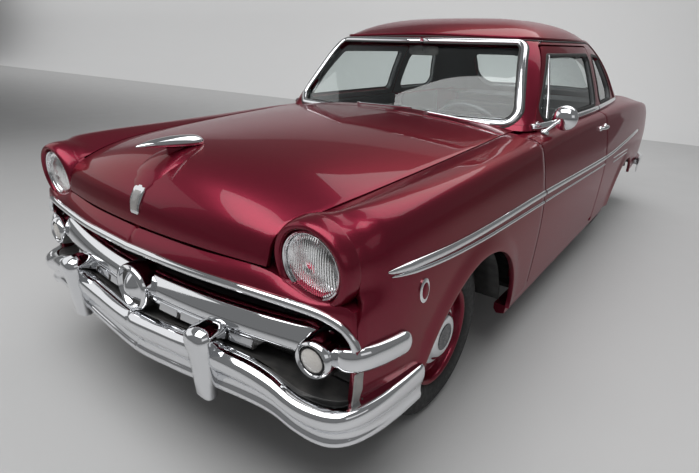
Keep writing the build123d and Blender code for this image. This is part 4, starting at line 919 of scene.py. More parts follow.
def tail_cap(rows=30, cols=9):
    """The wall that closes the quarter panel behind, round the tail lamp."""
    outer = even(cut_line(section(TAIL_Y), quarter_low(TAIL_Y)), rows)
    top = outer[-1]
    verts = []
    for i, p in enumerate(outer):
        q = Vector((top.x, TAIL_Y, outer[0].z + (top.z - outer[0].z) * i / (rows - 1)))
        for j in range(cols):
            u = j / (cols - 1)
            bulge = 7 * sin(pi * min(1.0, u * 1.6) / 2) * (1 - i / rows)
            verts.append(tuple(p.lerp(q, u) + Vector((0, bulge, 0))))
    return verts, grid_faces(rows, cols)


thick(new_piece("fender_skins", *both(front_fender()), PAINT, "body", "paint", ["front_fenders"]), 20)
thick(new_piece("quarter_skins", *both(rear_quarter()), PAINT, "body", "paint", ["quarter_panels"]), 20)
thick(new_piece("quarter_tails", *both(tail_cap()), PAINT, "body", "paint"), 12)

thick(new_piece("hood_skin", *strip_sheet(even_stations(HOOD, 49)[::-1]), PAINT, "hood", "paint", ["hood"]), 20)
trunk_rows = strip_between(DECK, TRUNK_FRONT_Y, DECK[-1][0], 33)
thick(new_piece("trunk_skin", *strip_sheet(trunk_rows), PAINT, "trunk_lid", "paint", ["trunk_lid"]), 20)


def ring_y(x, z, shares):
    """Where the greenhouse's front or rear stands at a distance from the centre line."""
    return dome(*to_end([(abs(x), z)], shares)[0]).y


def cowl_sheet(cols=49, rows=12):
    """The panel between the hood and the windshield."""
    verts = []
    stations = [(COWL_Y + SHUT_GAP, *HOOD[0][1:]), (COWL_Y + 300, 1108, 0, 700, 64)]
    for k in range(cols):
        u = -1 + 2 * k / (cols - 1)
        a, b = (strip_point(st, u) for st in stations)
        far = min(b.y, ring_y(b.x, max(b.z, BELT_Z + 2), FRONT_SHARES) + 18)
        for j in range(rows):
            t = j / (rows - 1)
            p = a.lerp(b, t * (far - a.y) / (b.y - a.y))
            verts.append(tuple(p))
    return verts, turned(grid_faces(cols, rows))


def deck_sheet(cols=49, rows=12):
    """The panel between the rear window and the trunk lid."""
    verts = []
    last = (TRUNK_FRONT_Y - SHUT_GAP, *table_at(DECK, TRUNK_FRONT_Y - SHUT_GAP))
    for k in range(cols):
        u = -1 + 2 * k / (cols - 1)
        end = strip_point(last, u)
        near = max(DECK[0][0], ring_y(end.x, end.z, REAR_SHARES) - 18)
        for j in range(rows):
            y = near + (end.y - near) * j / (rows - 1)
            verts.append(tuple(strip_point((y, *table_at(DECK, y)), u)))
    return verts, turned(grid_faces(cols, rows))


thick(new_piece("cowl_skin", *cowl_sheet(), PAINT, "body", "paint", ["cowl"]), 20)
thick(new_piece("deck_skin", *deck_sheet(), PAINT, "body", "paint", ["deck_panel"]), 20)


ROOF_MIDDLE = Vector((0, 150, HEIGHT))


def top_edge(count):
    """The highest ring of the greenhouse, all the way round."""
    return [dome(2 * k / count if k <= count / 2 else -(2 - 2 * k / count), TOP_V) for k in range(count)]


def roof_shell():
    """The painted roof with its pillars, and the cap over its highest ring."""
    half = [(0.0, BASE_V), (1.0, BASE_V), (1.0, TOP_V), (0.0, TOP_V)]
    shield = closed_at([(max(0.0, s), v) for s, v in SHIELD if s >= -1e-6], -0.01)
    holes = [shield, closed_at(BACKLIGHT, 1.01), QUARTER, DOORWAY]
    left = dome_shell([half], holes, 0.0, PILLAR - 8)
    rings = [(f, ROOF_MIDDLE + Vector((0, 0, 1.5 * (1 - f)))) for f in (1.0, 0.75, 0.5, 0.25, 0.02)]
    cap = loft([[tuple(middle + (p - ROOF_MIDDLE) * f) for p in top_edge(96)] for f, middle in rings])
    return joined(left, flipped(left), cap)


def lined(obj, middle):
    """Gives the faces that look into the cabin the lining's material."""
    obj.data.materials.append(LINER)
    for face in obj.data.polygons:
        way = Vector(middle) - face.center
        if face.normal.dot(way) > 0.3 * way.length:
            face.material_index = 1
    return obj


lined(new_piece("roof_shell", *roof_shell(), PAINT, "body", "paint", ["roof"], sharp=35), (0, 0.15, 1.15))


def door_inside(y, deep, drop=0, foot=SILL_Z):
    """The inner side of a door at one place, from its top to its foot."""
    sill, _, _, _, cx, cz = table_at(SIDE, y)
    line = ((cx - deep, cz - 1 - drop), (cx - deep - 2, 900), (sill - deep - 36, 500), (sill - deep - 36, foot))
    return [Vector((x, y, z)) for x, z in line]


def door_body():
    """The door below its window, as a closed loft from front to rear."""
    rows = []
    n = 24
    for k in range(n + 1):
        y = DOOR_FRONT_Y + (DOOR_REAR_Y - DOOR_FRONT_Y) * k / n
        *_, cx, cz = table_at(SIDE, y)
        outer = [p for p in cut_line(section(y), SILL_Z) if p.x > cx or p.z < cz - 40]
        outer = even(outer + [Vector((cx, y, cz))], 40)
        rows.append([tuple(p) for p in outer + door_inside(y, 62)])
    return solid_grid(rows)


for name, turn in SIDES:
    frame_part = dome_shell([DOOR_FRAME], [DOOR_WINDOW], 0.0, PILLAR - 10, 32)
    whole = turn(joined(door_body(), frame_part))
    obj = outward(new_piece(f"door_{name}_skin", *whole, PAINT, f"door_{name}", "paint", [f"door_{name}"], sharp=35))
    lined(soften(obj, 3, 2, 50), (0, -0.25, 0.9))
    pane = turn(window_pane(DOOR_WINDOW))
    new_piece(f"door_pane_{name}", *pane, CLEAR, f"door_{name}", "glass", [f"door_glass_{name}"])

for name, pane, node_name in (
    ("windshield_pane", window_pane(SHIELD), "windshield"),
    ("rear_window_pane", both(window_pane(closed_at(BACKLIGHT, 1.0))), "rear_window"),
    ("quarter_panes", both(window_pane(QUARTER)), "quarter_windows"),
):
    new_piece(name, *pane, CLEAR, "body", "glass", [node_name])


# Nose: lip, headlamps, grille, pan and bumpers


def nose_y(x, front):
    """A line across the nose, on the nose's radius."""
    return front + NOSE_RADIUS - sqrt(NOSE_RADIUS**2 - x * x)


# Upper and lower edge of the lip from the centre line to the fender
LIP_TOP = [
    (0, -2411, 821), (300, -2397, 821), (580, -2360, 820), (650, -2350, 800),
    (740, -2343, 778), (820, -2336, 782), (866, -2331, 776), (880, -2329, 712),
]
LIP_LOW = [
    (0, -2451, 764), (300, -2437, 764), (580, -2399, 762), (700, -2376, 757),
    (790, -2354, 745), (840, -2341, 724), (868, -2334, 696), (880, -2330, 668),
]


def lip_sheet(rows=7, cols=45):
    """The painted lip over the grille opening."""
    top, low = spline(LIP_TOP, cols), spline(LIP_LOW, cols)
    verts = []
    for a, b in zip(top, low):
        verts.append((a.x, a.y + 70, a.z - 4))
        verts.append((a.x, a.y + 30, a.z - 2))
        for j in range(rows):
            t = j / (rows - 1)
            p = a.lerp(b, t)
            swell = 5 * sin(pi * t)
            verts.append((p.x, p.y - swell * 0.7, p.z + swell * 0.7))
    return verts, grid_faces(cols, rows + 2)


thick(new_piece("nose_lip", *both(lip_sheet()), PAINT, "body", "paint", ["nose_panel"]), 14)

# Painted infill behind the gap between the hood's corner and the headlamp
INFILL_LOOP = ((0, 772), (0, 862), (6, 862), (6, 772))
infill = [[(x, y + d, z) for d, z in INFILL_LOOP] for x, y in ((572, -2294), (650, -2298))]
outward(new_piece("nose_infills", *both(solid_grid(infill)), PAINT, "body", "paint", sharp=30))

low_line = spline(LIP_LOW, 46)
moulding = [Vector((-p.x, p.y, p.z)) for p in reversed(low_line[1:])] + low_line
out_of_nose = [Vector((p.x * 0.25, -1000, 120)) for p in moulding]
new_piece("nose_moulding", *sweep(moulding, out_of_nose, round_profile(27, 13)), CHROME, "body", "chrome")


def tilted(part, base, share=0.08):
    """A headlamp piece with its face leant forward at the top, more towards its front."""
    verts, faces = part
    out = []
    for x, y, z in verts:
        f = max(0.0, min(1.2, (base - y) / RIM_LENGTH))
        out.append((x, y - share * f * (z - LAMP_Z), z))
    return out, faces


RIM_LENGTH = 53
LAMP_AT = (LAMP_X, LAMP_WALL_Y, LAMP_Z)
FORWARD = (0, -1, 0)
RIM_LINE = [
    (134, -30), (137.6, -2), (138.4, 1), (138, 5), (137, 18), (134, 33), (130, 43),
    (125.5, 49), (121, 52.3), (116.5, 53), (112, 51.5), (108.5, 47), (106, 39), (105.5, 25), (104, 4),
]
RING_LINE = [(105.4, 12), (105, 33), (103, 40), (99, 43.5), (95.5, 42), (94, 36), (94, 10)]
BOWL_LINE = [(94.5, 20), (92, 10), (80, -10), (55, -28), (24, -36), (0, -38)]
BULB_LINE = [(0, -36), (16, -35), (19, -18), (14, -4), (0, 2)]
LENS_LINE = [
    (94.6, 20), (94.6, 28), (90, 33), (76, 39), (52, 44), (26, 46.5), (0, 47.5),
    (0, 43), (26, 42), (52, 39.5), (76, 34.5), (88, 29), (91, 20),
]
for name, line, mat, slot, nodes, sharp in (
    ("headlamp_rims", RIM_LINE, PAINT, "paint", ["headlamp_bezels"], 60),
    ("headlamp_rings", RING_LINE, CHROME, "chrome", [], 60),
    ("headlamp_bowls", BOWL_LINE, REFLECTOR, "chrome", [], 0),
    ("headlamp_bulbs", BULB_LINE, SILVER, "chrome", [], 0),
    ("headlamp_glasses", LENS_LINE, LENS, "glass", ["headlamp_lenses"], 0),
):
    part = both(tilted(lathe(line, LAMP_AT, FORWARD, 96), LAMP_WALL_Y))
    new_piece(name, *part, mat, "body", slot, nodes, sharp=sharp)

# The grille bar's section as depth behind its front and height over its middle
BAR_Z, BAR_HALF = 628, 734
BAR_FRONT_Y = NOSE_Y + 12
BAR_LINE = [
    (64, 44), (44, 46), (26, 41), (10, 30), (-2, 15), (-9, 0),
    (-13, -14), (-12, -24), (-4, -32), (12, -37), (40, -38), (64, -36),
]


def bar_section(x):
    """The bar's section, drawn in at its ends so that they close inside the pods."""
    y = nose_y(x, BAR_FRONT_Y)
    g = sqrt(max(0.0, 1 - max(0.0, (abs(x) - BAR_HALF + 40) / 74) ** 2))
    tall = g * (1 + 0.25 * (x / BAR_HALF) ** 2)
    return [(x, y + 46 + (d - 46) * g, BAR_Z - 8 + (z + 8) * tall) for d, z in BAR_LINE]


BAR_END = BAR_HALF + 30
bar = solid_grid([bar_section(-BAR_END + 2 * BAR_END * k / 90) for k in range(91)])
outward(new_piece("grille_bar_face", *bar, CHROME, "body", "chrome", ["grille_bar"], sharp=50))

HUB_AT = (0, BAR_FRONT_Y + 22, 610)
HUB_LINE = [
    (60, -40), (83, -34), (86, -20), (86.5, 40), (85, 54), (80, 62), (73, 64), (69, 58), (67, 46),
    (61, 42), (50, 47), (37, 60), (21, 71), (9, 76), (0, 77.5),
]
new_piece("grille_hub", *lathe(HUB_LINE, HUB_AT, FORWARD, 96), CHROME, "body", "chrome", sharp=60)
band = lathe([(66.5, 45), (65, 49), (58, 47), (54, 45), (58, 42)], HUB_AT, FORWARD, 64)
new_piece("grille_hub_band", *band, PAN, "body", "chrome")

POD_AT = (756, -2295, 604)
POD_AXIS = (0.06, -1, 0)
POD_LINE = [
    (50, -52), (66, -44), (70, -20), (69, 12), (66, 44), (61, 72), (57, 83), (52, 87), (46, 84), (43, 78), (42, 70),
]
new_piece("grille_pods", *both(lathe(POD_LINE, POD_AT, POD_AXIS)), CHROME, "body", "chrome", sharp=60)
pod_lens = lathe([(43, 70), (42, 77), (32, 84), (17, 88), (0, 89)], POD_AT, POD_AXIS, 48)
new_piece("pod_lenses", *both(pod_lens), PALE_LENS, "body", "glass", sharp=0)
pod_ring = lathe([(42.5, 76), (41, 81), (37.5, 81.5), (36, 79)], POD_AT, POD_AXIS, 48)
new_piece("pod_rings", *both(pod_ring), RUBBER, "body", "chrome")

SLOT_PLACES = (165, 275, 385, 490)
SLOT_HALF = 46
SLOT_LOW_Z, SLOT_HIGH_Z = 545, 600
SLOT_FACE_LOW_Z, SLOT_FACE_HIGH_Z = 556, 586


def slot_trim():
    """The slotted trim under the bar, from the round centre to an end that curls up into the bar."""
    rows = []
    n = 60
    for k in range(n + 1):
        x = 80 + 500 * k / n
        y = nose_y(x, BAR_FRONT_Y)
        rise = max(0.0, k / n - 0.86) / 0.14
        low = SLOT_LOW_Z + 44 * rise**1.6
        high = SLOT_HIGH_Z
        line = ((40, high), (6, high - 2), (-3, high - 6), (-5, 592), (0, low + 5), (7, low), (40, low))
        rows.append([(x, y + d, z) for d, z in line])
    return solid_grid(rows)


def slot_faces(grow, out):
    """The slots of the trim, as plates of a little more than its depth."""
    parts = []
    for x in SLOT_PLACES:
        rows = []
        for side in (-1, -0.5, 0, 0.5, 1):
            px = x + side * (SLOT_HALF + grow)
            y = nose_y(px, BAR_FRONT_Y) - out
            low, high = SLOT_FACE_LOW_Z - grow, SLOT_FACE_HIGH_Z + grow
            rows.append([(px, y - 4, low), (px, y + 4, high), (px, y + 14, high), (px, y + 14, low)])
        parts.append(solid_grid(rows))
    return joined(*parts)


soften(outward(new_piece("grille_slot_trim", *both(slot_trim()), CHROME, "body", "chrome", sharp=50)), 3, 2)
soften(outward(new_piece("grille_slot_frames", *both(slot_faces(5, 4)), PAN, "body", "chrome", sharp=30)), 3, 2)
soften(outward(new_piece("grille_slots", *both(slot_faces(0, 7)), CHROME, "body", "chrome", sharp=30)), 2, 2)

EAR_LINE = [
    (806, -2312, 612), (836, -2328, 618), (860, -2320, 622), (881, -2294, 623),
    (898, -2230, 617), (908, -2160, 611), (914, -2106, 607),
]


def ear():
    """The tapered end of the grille that runs from a pod round the fender."""
    path = spline(EAR_LINE, 40)
    rows = []
    for i, p in enumerate(path):
        a, b = path[max(0, i - 1)], path[min(39, i + 1)]
        along = (b - a).normalized()
        out = along.cross(Vector((0, 0, -1))).normalized()
        if out.dot(Vector((1, -1, 0))) < 0:
            out = -out
        t = i / 39
        tip = sqrt(max(0.0, 1 - max(0.0, (t - 0.86) / 0.14) ** 2))
        grow = 0.9 + 0.1 * min(1.0, t / 0.15)
        tall, deep = 40 * grow * max(0.12, tip), 26 * grow * max(0.1, tip)
        ring = []
        for k in range(20):
            ang = 2 * pi * k / 20
            u, w = cos(ang), sin(ang)
            push = deep * max(u, -0.7) * abs(u) ** -0.2 if abs(u) > 0.05 else 0
            ring.append(tuple(p + out * push + Vector((0, 0, tall * w))))
        rows.append(ring)
    return solid_grid(rows)


outward(new_piece("grille_ears", *both(ear()), CHROME, "body", "chrome", sharp=60))

POST_LOOP = ((-2, -2335), (3, -2334), (4, -2290), (-1, -2290))
post = [[(x + d, y, z) for d, y in POST_LOOP] for x, z in ((868, 452), (876, 520), (880, 588))]
soften(outward(new_piece("fender_edge_posts", *both(solid_grid(post)), SILVER, "body", "chrome", sharp=30)), 2, 2)

# Front and rear edge of the panel between grille and bumper, and the baffle behind the grille
PAN_FOOT_Z, BAFFLE_HALF, BAFFLE_Y = 440, 850, -2318
PAN_FRONT = [
    (0, -2452, 520), (215, -2448, 538), (400, -2440, 553), (560, -2426, 553),
    (660, -2412, 534), (745, -2392, 500), (830, -2352, 488), (880, -2290, 486),
]
PAN_BACK = [
    (0, -2356, 524), (300, -2346, 526), (560, -2318, 524), (720, -2296, 512), (810, -2282, 500), (860, -2262, 492),
]


def pan_sheet(rows=9, cols=40):
    """The panel between the grille and the bumper."""
    front, back = spline(PAN_FRONT, cols), spline(PAN_BACK, cols)
    verts = []
    for a, b in zip(front, back):
        verts.append((a.x, a.y - 4, a.z - 40))
        for j in range(rows - 3):
            t = j / (rows - 4)
            p = a.lerp(b, t)
            verts.append((p.x, p.y, p.z - 10 * sin(pi * t)))
        verts.append((b.x, b.y + 20, b.z - 12))
        verts.append((b.x, b.y + 26, PAN_FOOT_Z))
    return verts, turned(grid_faces(cols, rows))


thick(new_piece("front_pan", *both(pan_sheet()), PAN, "body", "black_steel", ["stone_pan"]), 6, 1.5)
across = [-BAFFLE_HALF + 2 * BAFFLE_HALF * k / 24 for k in range(25)]
wall = [(x, nose_y(x, BAFFLE_Y), z) for x in across for z in (PAN_FOOT_Z, 600, 760)]
thick(new_piece("grille_baffle", wall, grid_faces(25, 3), RUBBER, "body", "black_steel", sharp=0), 6, 0)

# The bumper's line: place across, back from the front, heading, lower and upper edge, depth of the steps
BUMPER_LINE = [
    (0, 0, 0, 352, 518, 1), (215, 4, 2, 372, 536, 1), (400, 12, 4, 395, 552, 1), (560, 26, 7, 408, 552, 1),
    (660, 40, 10, 402, 532, 1), (745, 54, 14, 374, 496, 0.9), (820, 72, 24, 360, 486, 0.85),
    (870, 100, 45, 358, 484, 0.8), (905, 150, 62, 360, 484, 0.6), (928, 230, 78, 358, 486, 0.5),
    (938, 330, 85, 354, 486, 0.4), (941, 462, 89, 350, 482, 0.3),
]
# The face bar's section: depth behind its front and share of its height
FACE_LINE = [
    (60, 0.985), (50, 1.0), (36, 0.995), (18, 0.96), (5, 0.88), (0, 0.78), (3, 0.66), (12, 0.55), (24, 0.45),
    (31, 0.38), (34, 0.30), (31, 0.22), (24, 0.16), (21, 0.11), (22, 0.06), (30, 0.0), (40, -0.01),
]


def bumper_sheet():
    """The wrapped face bar: a stepped section carried along its plan line."""
    run, rows = 0.0, []
    for i, row in enumerate(BUMPER_LINE):
        if i:
            run += hypot(row[0] - BUMPER_LINE[i - 1][0], row[1] - BUMPER_LINE[i - 1][1])
        rows.append((run, *row))
    across, back, heading, *rest = BUMPER_LINE[1]
    rows.insert(0, (-rows[1][0], -across, back, -heading, *rest))
    n = 64
    stations = [table_at(rows, run * k / n) for k in range(n + 1)]
    line = spline([(d, 0, z) for d, z in FACE_LINE], 40)
    verts = []
    for x, back, heading, low, high, depth in stations:
        out = Vector((sin(radians(heading)), -cos(radians(heading)), 0))
        base = Vector((x, FRONT_Y + 18 + back, low))
        turn_in = 24 * max(0.0, min(1.0, (heading - 50) / 25))
        for k, p in enumerate(line):
            inward = depth * p.x + (turn_in if k == 0 else 0)
            verts.append(tuple(base - out * inward + Vector((0, 0, p.z * (high - low)))))
    return verts, grid_faces(n + 1, 40)


# The guards: place across, then height, half width, front and rear
GUARD_X = 400
GUARD_LINE = [
    (362, 32, -2490, -2446), (372, 37, -2496, -2446), (440, 40, -2501, -2440), (500, 43, -2505, -2430),
    (530, 46, -2510, -2414), (556, 50, -2515, -2402), (580, 51, -2518, -2396), (600, 46, -2515, -2400),
    (613, 34, -2500, -2410), (618, 16, -2476, -2430),
]


def guard():
    """A bumper guard: a post with a full, forward-leaning head."""
    rows = []
    for z, half, front, back in GUARD_LINE:
        ring = []
        for k in range(28):
            a = 2 * pi * k / 28
            c, s = cos(a), sin(a)
            u = abs(c) ** 0.55 * (1 if c > 0 else -1)
            w = abs(s) ** 0.75 * (1 if s > 0 else -1)
            mid, deep = 0.5 * (front + back), 0.5 * (back - front)
            ring.append((GUARD_X + half * u, mid - deep * w, z))
        rows.append(ring)
    return solid_grid(rows)


def turned_round(part):
    """A front piece turned to the rear."""
    verts, faces = part
    return [(-x, -y, z) for x, y, z in verts], faces


for name, change in (("front", as_it_is), ("rear", turned_round)):
    sheet = change(both(bumper_sheet()))
    thick(new_piece(f"bumper_{name}_bar", *sheet, CHROME, "body", "chrome", [f"bumper_{name}"], sharp=60), 6, 2)
    outward(new_piece(f"bumper_{name}_guards", *change(both(guard())), CHROME, "body", "chrome", sharp=60))


# Bright trim on the body side


def side_strip(points, width, height, count=40, tip=0):
    """A half-round strip on the body side through (y, z) points, drawn out to a point over its first rows."""
    path = spline([(0, y, z) for y, z in points], count)
    placed = [skin_point(p.y, p.z) for p in path]
    scale = [sqrt((k + 0.2) / tip) if k < tip else 1.0 for k in range(count)]
    return sweep([p for p, _ in placed], [n for _, n in placed], round_profile(width, height), scale=scale)


def table_run(table, y0, y1, count=9):
    """Points of a (y, z) table between two places."""
    ys = [y0 + (y1 - y0) * k / (count - 1) for k in range(count)]
    return [(y, table_at(table, y)[0]) for y in ys]


SPEAR_TOP = [(-2218, 852), (-1764, 819), (-1006, 800), (421, 752), (1000, 765), (1591, 790)]
SPEAR_LOW = [(-2204, 836), (-2142, 825), (-1755, 788), (-983, 757), (250, 711), (372, 708)]
FENDER_RUN = (-2216, DOOR_FRONT_Y - SWING_GAP - 4)
DOOR_RUN = (DOOR_FRONT_Y + 4, DOOR_REAR_Y - 4)
QUARTER_RUN = (DOOR_REAR_Y + SWING_GAP + 4, 1590)

fender_trim = joined(
    side_strip(table_run(SPEAR_TOP, *FENDER_RUN), 29, 11, 60, 5),
    side_strip(table_run(SPEAR_LOW, -2200, FENDER_RUN[1]), 15, 7, 60, 5),
)
quarter_trim = joined(
    side_strip(table_run(SPEAR_TOP, *QUARTER_RUN), 25, 9, 50),
    side_strip([(640, 706), (980, 696), (1180, 690)], 9, 6, 24),
    side_strip([(655, 672), (980, 667), (1180, 664)], 9, 6, 24),
)
door_trim = joined(
    side_strip(table_run(SPEAR_TOP, *DOOR_RUN), 28, 10),
    side_strip(table_run(SPEAR_LOW, *DOOR_RUN), 11, 6),
)
outward(new_piece("spear_fender", *both(fender_trim), CHROME, "body", "chrome", sharp=50))
outward(new_piece("spear_quarter", *both(quarter_trim), CHROME, "body", "chrome", sharp=50))


def door_handle():
    """A pull handle on two feet."""
    ys = [190 + 140 * k / 24 for k in range(25)]
    path, normals, scale = [], [], []
    for y in ys:
        p, n = skin_point(y, 958)
        t = (y - 190) / 140
        path.append(p + n * (8 + 22 * sin(pi * t) ** 0.5))
        normals.append(n)
        scale.append(0.55 + 0.45 * sin(pi * t) ** 0.5)
    grip = sweep(path, normals, oval(11, 7, 14), scale=scale)
    feet = []
    for y, r in ((190, 15), (330, 18)):
        p, n = skin_point(y, 958, -2)
        feet.append(lathe([(r, 0), (r, 8), (r * 0.8, 13), (r * 0.5, 15), (0, 15)], p, n, 28))
    return joined(grip, *feet)


for name, turn in SIDES:
    outward(new_piece(f"spear_door_{name}", *turn(door_trim), CHROME, f"door_{name}", "chrome", sharp=50))
    new_piece(f"door_handle_{name}", *turn(door_handle()), CHROME, f"door_{name}", "chrome", sharp=50)

# A plain plate on the fender in place of the badge
plate_at = skin_point(-2046, 742)[0]
plate = oval(30, 44, 40)


def side_plate(scale, low, high):
    """A low oval plate on the fender."""
    rows = []
    for grow, lift in ((1.0, low), (1.0, high - 1.5), (0.9, high), (0.5, high + 1.5), (0.02, high + 2)):
        ring = []
        for u, w in plate:
            p, n = skin_point(plate_at.y + u * scale * grow, plate_at.z + w * scale * grow)
            ring.append(tuple(p + n * lift))
        rows.append(ring)
    return loft(rows)


outward(new_piece("fender_plates", *both(side_plate(0.9, -2, 5)), CHROME, "body", "chrome", sharp=40))
outward(new_piece("fender_plate_fields", *both(side_plate(0.62, 2, 7)), PAINT, "body", "paint", sharp=40))

# Bright trim and seals of the greenhouse


def dome_strip(line, width, height, closed=True):
    """A strip of half-round section on the greenhouse's skin."""
    path = [dome(s, v) for s, v in line]
    normals = [dome_normal(s, v) for s, v in line]
    return sweep(path, normals, round_profile(width, height), closed=closed)


BACK_RING = BACKLIGHT + mirrored_line(BACKLIGHT)
for name, strip, mat, slot, sharp in (
    ("windshield_seal", dome_strip(SHIELD, 52, 3.5), RUBBER, "black_steel", 50),
    ("windshield_trim", dome_strip(SHIELD, 36, 13), CHROME, "chrome", 60),
    ("rear_window_seal", dome_strip(BACK_RING, 40, 3), RUBBER, "black_steel", 50),
    ("rear_window_trim", dome_strip(BACK_RING, 26, 10), CHROME, "chrome", 60),
    ("quarter_seals", both(dome_strip(QUARTER, 20, 4)), RUBBER, "black_steel", 50),
):
    outward(new_piece(name, *strip, mat, "body", slot, sharp=sharp))


def gutter_line(rise=0.0):
    """The drip rail's way, from the foot of the rear pillar along the side and over the windshield."""
    side = spline([(0, y, z + rise) for y, z in (
        (1128, 1066), (1075, 1180), (1000, 1312), (905, 1402), (780, 1442), (600, 1454), (300, 1457),
        (-100, 1456), (-330, 1455),
    )], 60)
    line = to_side([(p.y, p.z) for p in side])
    s0, v0 = line[-1]
    v1 = run_at_height(1470 + rise)
    for k in range(1, 25):
        u = k / 24
        line.append((s0 * (1 - u), v0 + (v1 - v0) * smooth(u)))
    return line + [(-s, v) for s, v in reversed(line[:-1])]


outward(new_piece("drip_rail", *dome_strip(gutter_line(8), 13, 9, False), PAINT, "body", "paint", sharp=60))
# A black strip just under the drip rail, all along its way: painted shadow of the roof's edge.
roof_edge_shadow_strip = dome_strip(gutter_line(-3), 10, 3, False)
outward(new_piece("drip_painted_shadow", *roof_edge_shadow_strip, RUBBER, "body", "black_steel", sharp=60))


def belt_strip(y0, y1, width=34, height=12):
    """A strip at the foot of the side windows."""
    n = max(3, int((y1 - y0) / 40))
    return dome_strip(to_side([(y0 + (y1 - y0) * k / n, BELT_Z + 17) for k in range(n + 1)]), width, height, False)


outward(new_piece("belt_trim_rear", *both(belt_strip(DOOR_REAR_Y + 14, 1150)), CHROME, "body", "chrome", sharp=60))
VENT_RISE = DOOR_TOP_Z - 46 - WINDOW_SILL_Z
VENT_BAR = to_side([(-626 + 206 * k / 10, WINDOW_SILL_Z + VENT_RISE * k / 10) for k in range(11)])
for name, turn in SIDES:
    ride = f"door_{name}"
    strip = turn(belt_strip(A_FOOT_Y + 4, DOOR_REAR_Y - 5))
    outward(new_piece(f"belt_trim_{name}", *strip, CHROME, ride, "chrome", sharp=60))
    seal = turn(dome_strip(DOOR_WINDOW, 22, 4))
    outward(new_piece(f"door_seal_{name}", *seal, RUBBER, ride, "black_steel", sharp=50))
    bar = turn(dome_strip(VENT_BAR, 18, 6, False))
    outward(new_piece(f"vent_bar_{name}", *bar, CHROME, ride, "chrome", sharp=60))

# Door mirror, inside mirror

MIRROR_AT = Vector((884, COWL_Y + 387 - 60, BELT_Z + 62))
MIRROR_AXIS = (0, 1, 0)
cup = [(0, -12), (26, -9), (44, -1), (55, 12), (59, 24), (60, 33), (58, 37), (54, 38)]
MIRROR_ARM = [
    (826, MIRROR_AT.y - 60, BELT_Z + 4), (842, MIRROR_AT.y - 40, 1066),
    (866, MIRROR_AT.y - 8, 1092), tuple(MIRROR_AT),
]
mirror_shell = joined(
    lathe(cup, MIRROR_AT, MIRROR_AXIS, 64),
    sweep(spline(MIRROR_ARM, 20), [(0.4, -0.3, 0.8)] * 20, oval(8, 8)),
    lathe([(20, -4), (20, 3), (15, 8), (8, 12), (0, 13)], (826, MIRROR_AT.y - 60, BELT_Z - 1), (0.3, 0, 1), 32),
)
new_piece("mirror_cup", *mirror_shell, CHROME, "door_left", "chrome", ["door_mirror"], sharp=50)
mirror_glass = lathe([(54.5, 36), (50, 37), (0, 37.5)], MIRROR_AT, MIRROR_AXIS, 48)
new_piece("mirror_face", *mirror_glass, REFLECTOR, "door_left", "chrome")

INNER_Y, INNER_Z = COWL_Y + 507, 1389
pane = rounded([(-95, 1362), (95, 1362), (95, 1416), (-95, 1416)], 18, 5)
rows = []
for g, d in ((0.9, -10), (1, -6), (1, 4), (0.96, 7)):
    rows.append([(x * g, INNER_Y + d, INNER_Z + (z - INNER_Z) * g) for x, z in pane])
stem_path = [(0, INNER_Y, 1405), (0, INNER_Y - 14, 1428), (0, INNER_Y - 26, 1446)]
back = joined(solid_grid(rows), sweep(stem_path, [(1, 0, 0)] * 3, oval(7, 7)))
outward(new_piece("inside_mirror_back", *back, SILVER, "body", "chrome", ["inside_mirror"], sharp=40))

# Hood ornament and crest


def hood_point(x, y):
    """The point of the hood's skin nearest to a place along the car."""
    return min((strip_point(st, x / st[3]) for st in HOOD_FINE), key=lambda p: abs(p.y - y))


HOOD_FINE = even_stations(HOOD, 240)
DART = [
    (-2373, 3, 1087, 1092), (-2350, 12, 1083, 1098), (-2320, 19, 1079, 1103), (-2270, 27, 1072, 1107),
    (-2225, 31, 1066, 1108), (-2170, 31, 1062, 1104), (-2135, 26, 1061, 1098), (-2116, 14, 1063, 1085),
    (-2110, 4, 1067, 1074),
]


def blade(rows):
    """A lens-shaped blade along the car's middle: place, half width, lower and upper edge."""
    made = []
    for y, half, low, high in rows:
        mid = low + 0.35 * (high - low)
        loop = []
        for k in range(24):
            a = 2 * pi * k / 24
            z = mid + (high - mid if sin(a) > 0 else mid - low) * sin(a)
            loop.append((half * cos(a), y, z))
        made.append(loop)
    return solid_grid(made)


dart_rows = [(y, *table_at(DART, y)) for y in [-2373 + 263 * k / 40 for k in range(41)]]
outward(new_piece("ornament_dart", *blade(dart_rows), CHROME, "hood", "chrome", ["hood_ornament"], sharp=60))
stem = [(y, 5 + 7 * sin(pi * u), 1024, 1076) for u, y in [(k / 8, -2262 + 104 * k / 8) for k in range(9)]]
outward(new_piece("ornament_stem", *blade(stem), PAINT, "hood", "paint", sharp=60))
bulge_rows = []
for k in range(25):
    u = k / 24
    y = -2408 + 270 * u
    skin = hood_point(0, y)
    swell = sin(pi * u) ** 0.7
    bulge_rows.append((y, 24 + 92 * swell, skin.z - 44, skin.z + 1 + 9 * swell))
outward(new_piece("ornament_bulge", *blade(bulge_rows), PAINT, "hood", "paint", sharp=0))

CREST = [
    (-28, 44), (-14, 50), (0, 53), (14, 50), (28, 44), (30, 10),
    (24, -26), (22, -46), (0, -50), (-22, -46), (-24, -26), (-30, 10),
]


def crest(scale, lift, depth):
    """A plain shield on the hood's nose."""
    outline = [(p.x, p.z) for p in spline([(x * scale, 0, z * scale) for x, z in CREST + CREST[:1]], 49)[:-1]]
    rows = []
    for out, grow in ((-6, 1.0), (depth - 2, 1.0), (depth, 0.9), (depth + 1.5, 0.4), (depth + 2, 0.02)):
        ring = []
        for x, z in outline:
            st = min(HOOD_FINE, key=lambda s: abs(s[1] - (914 + 0.88 * z * grow)))
            p = strip_point(st, 1.08 * x * grow / st[3])
            ring.append((p.x, p.y - lift - out, p.z))
        rows.append(ring)
    return loft(rows)


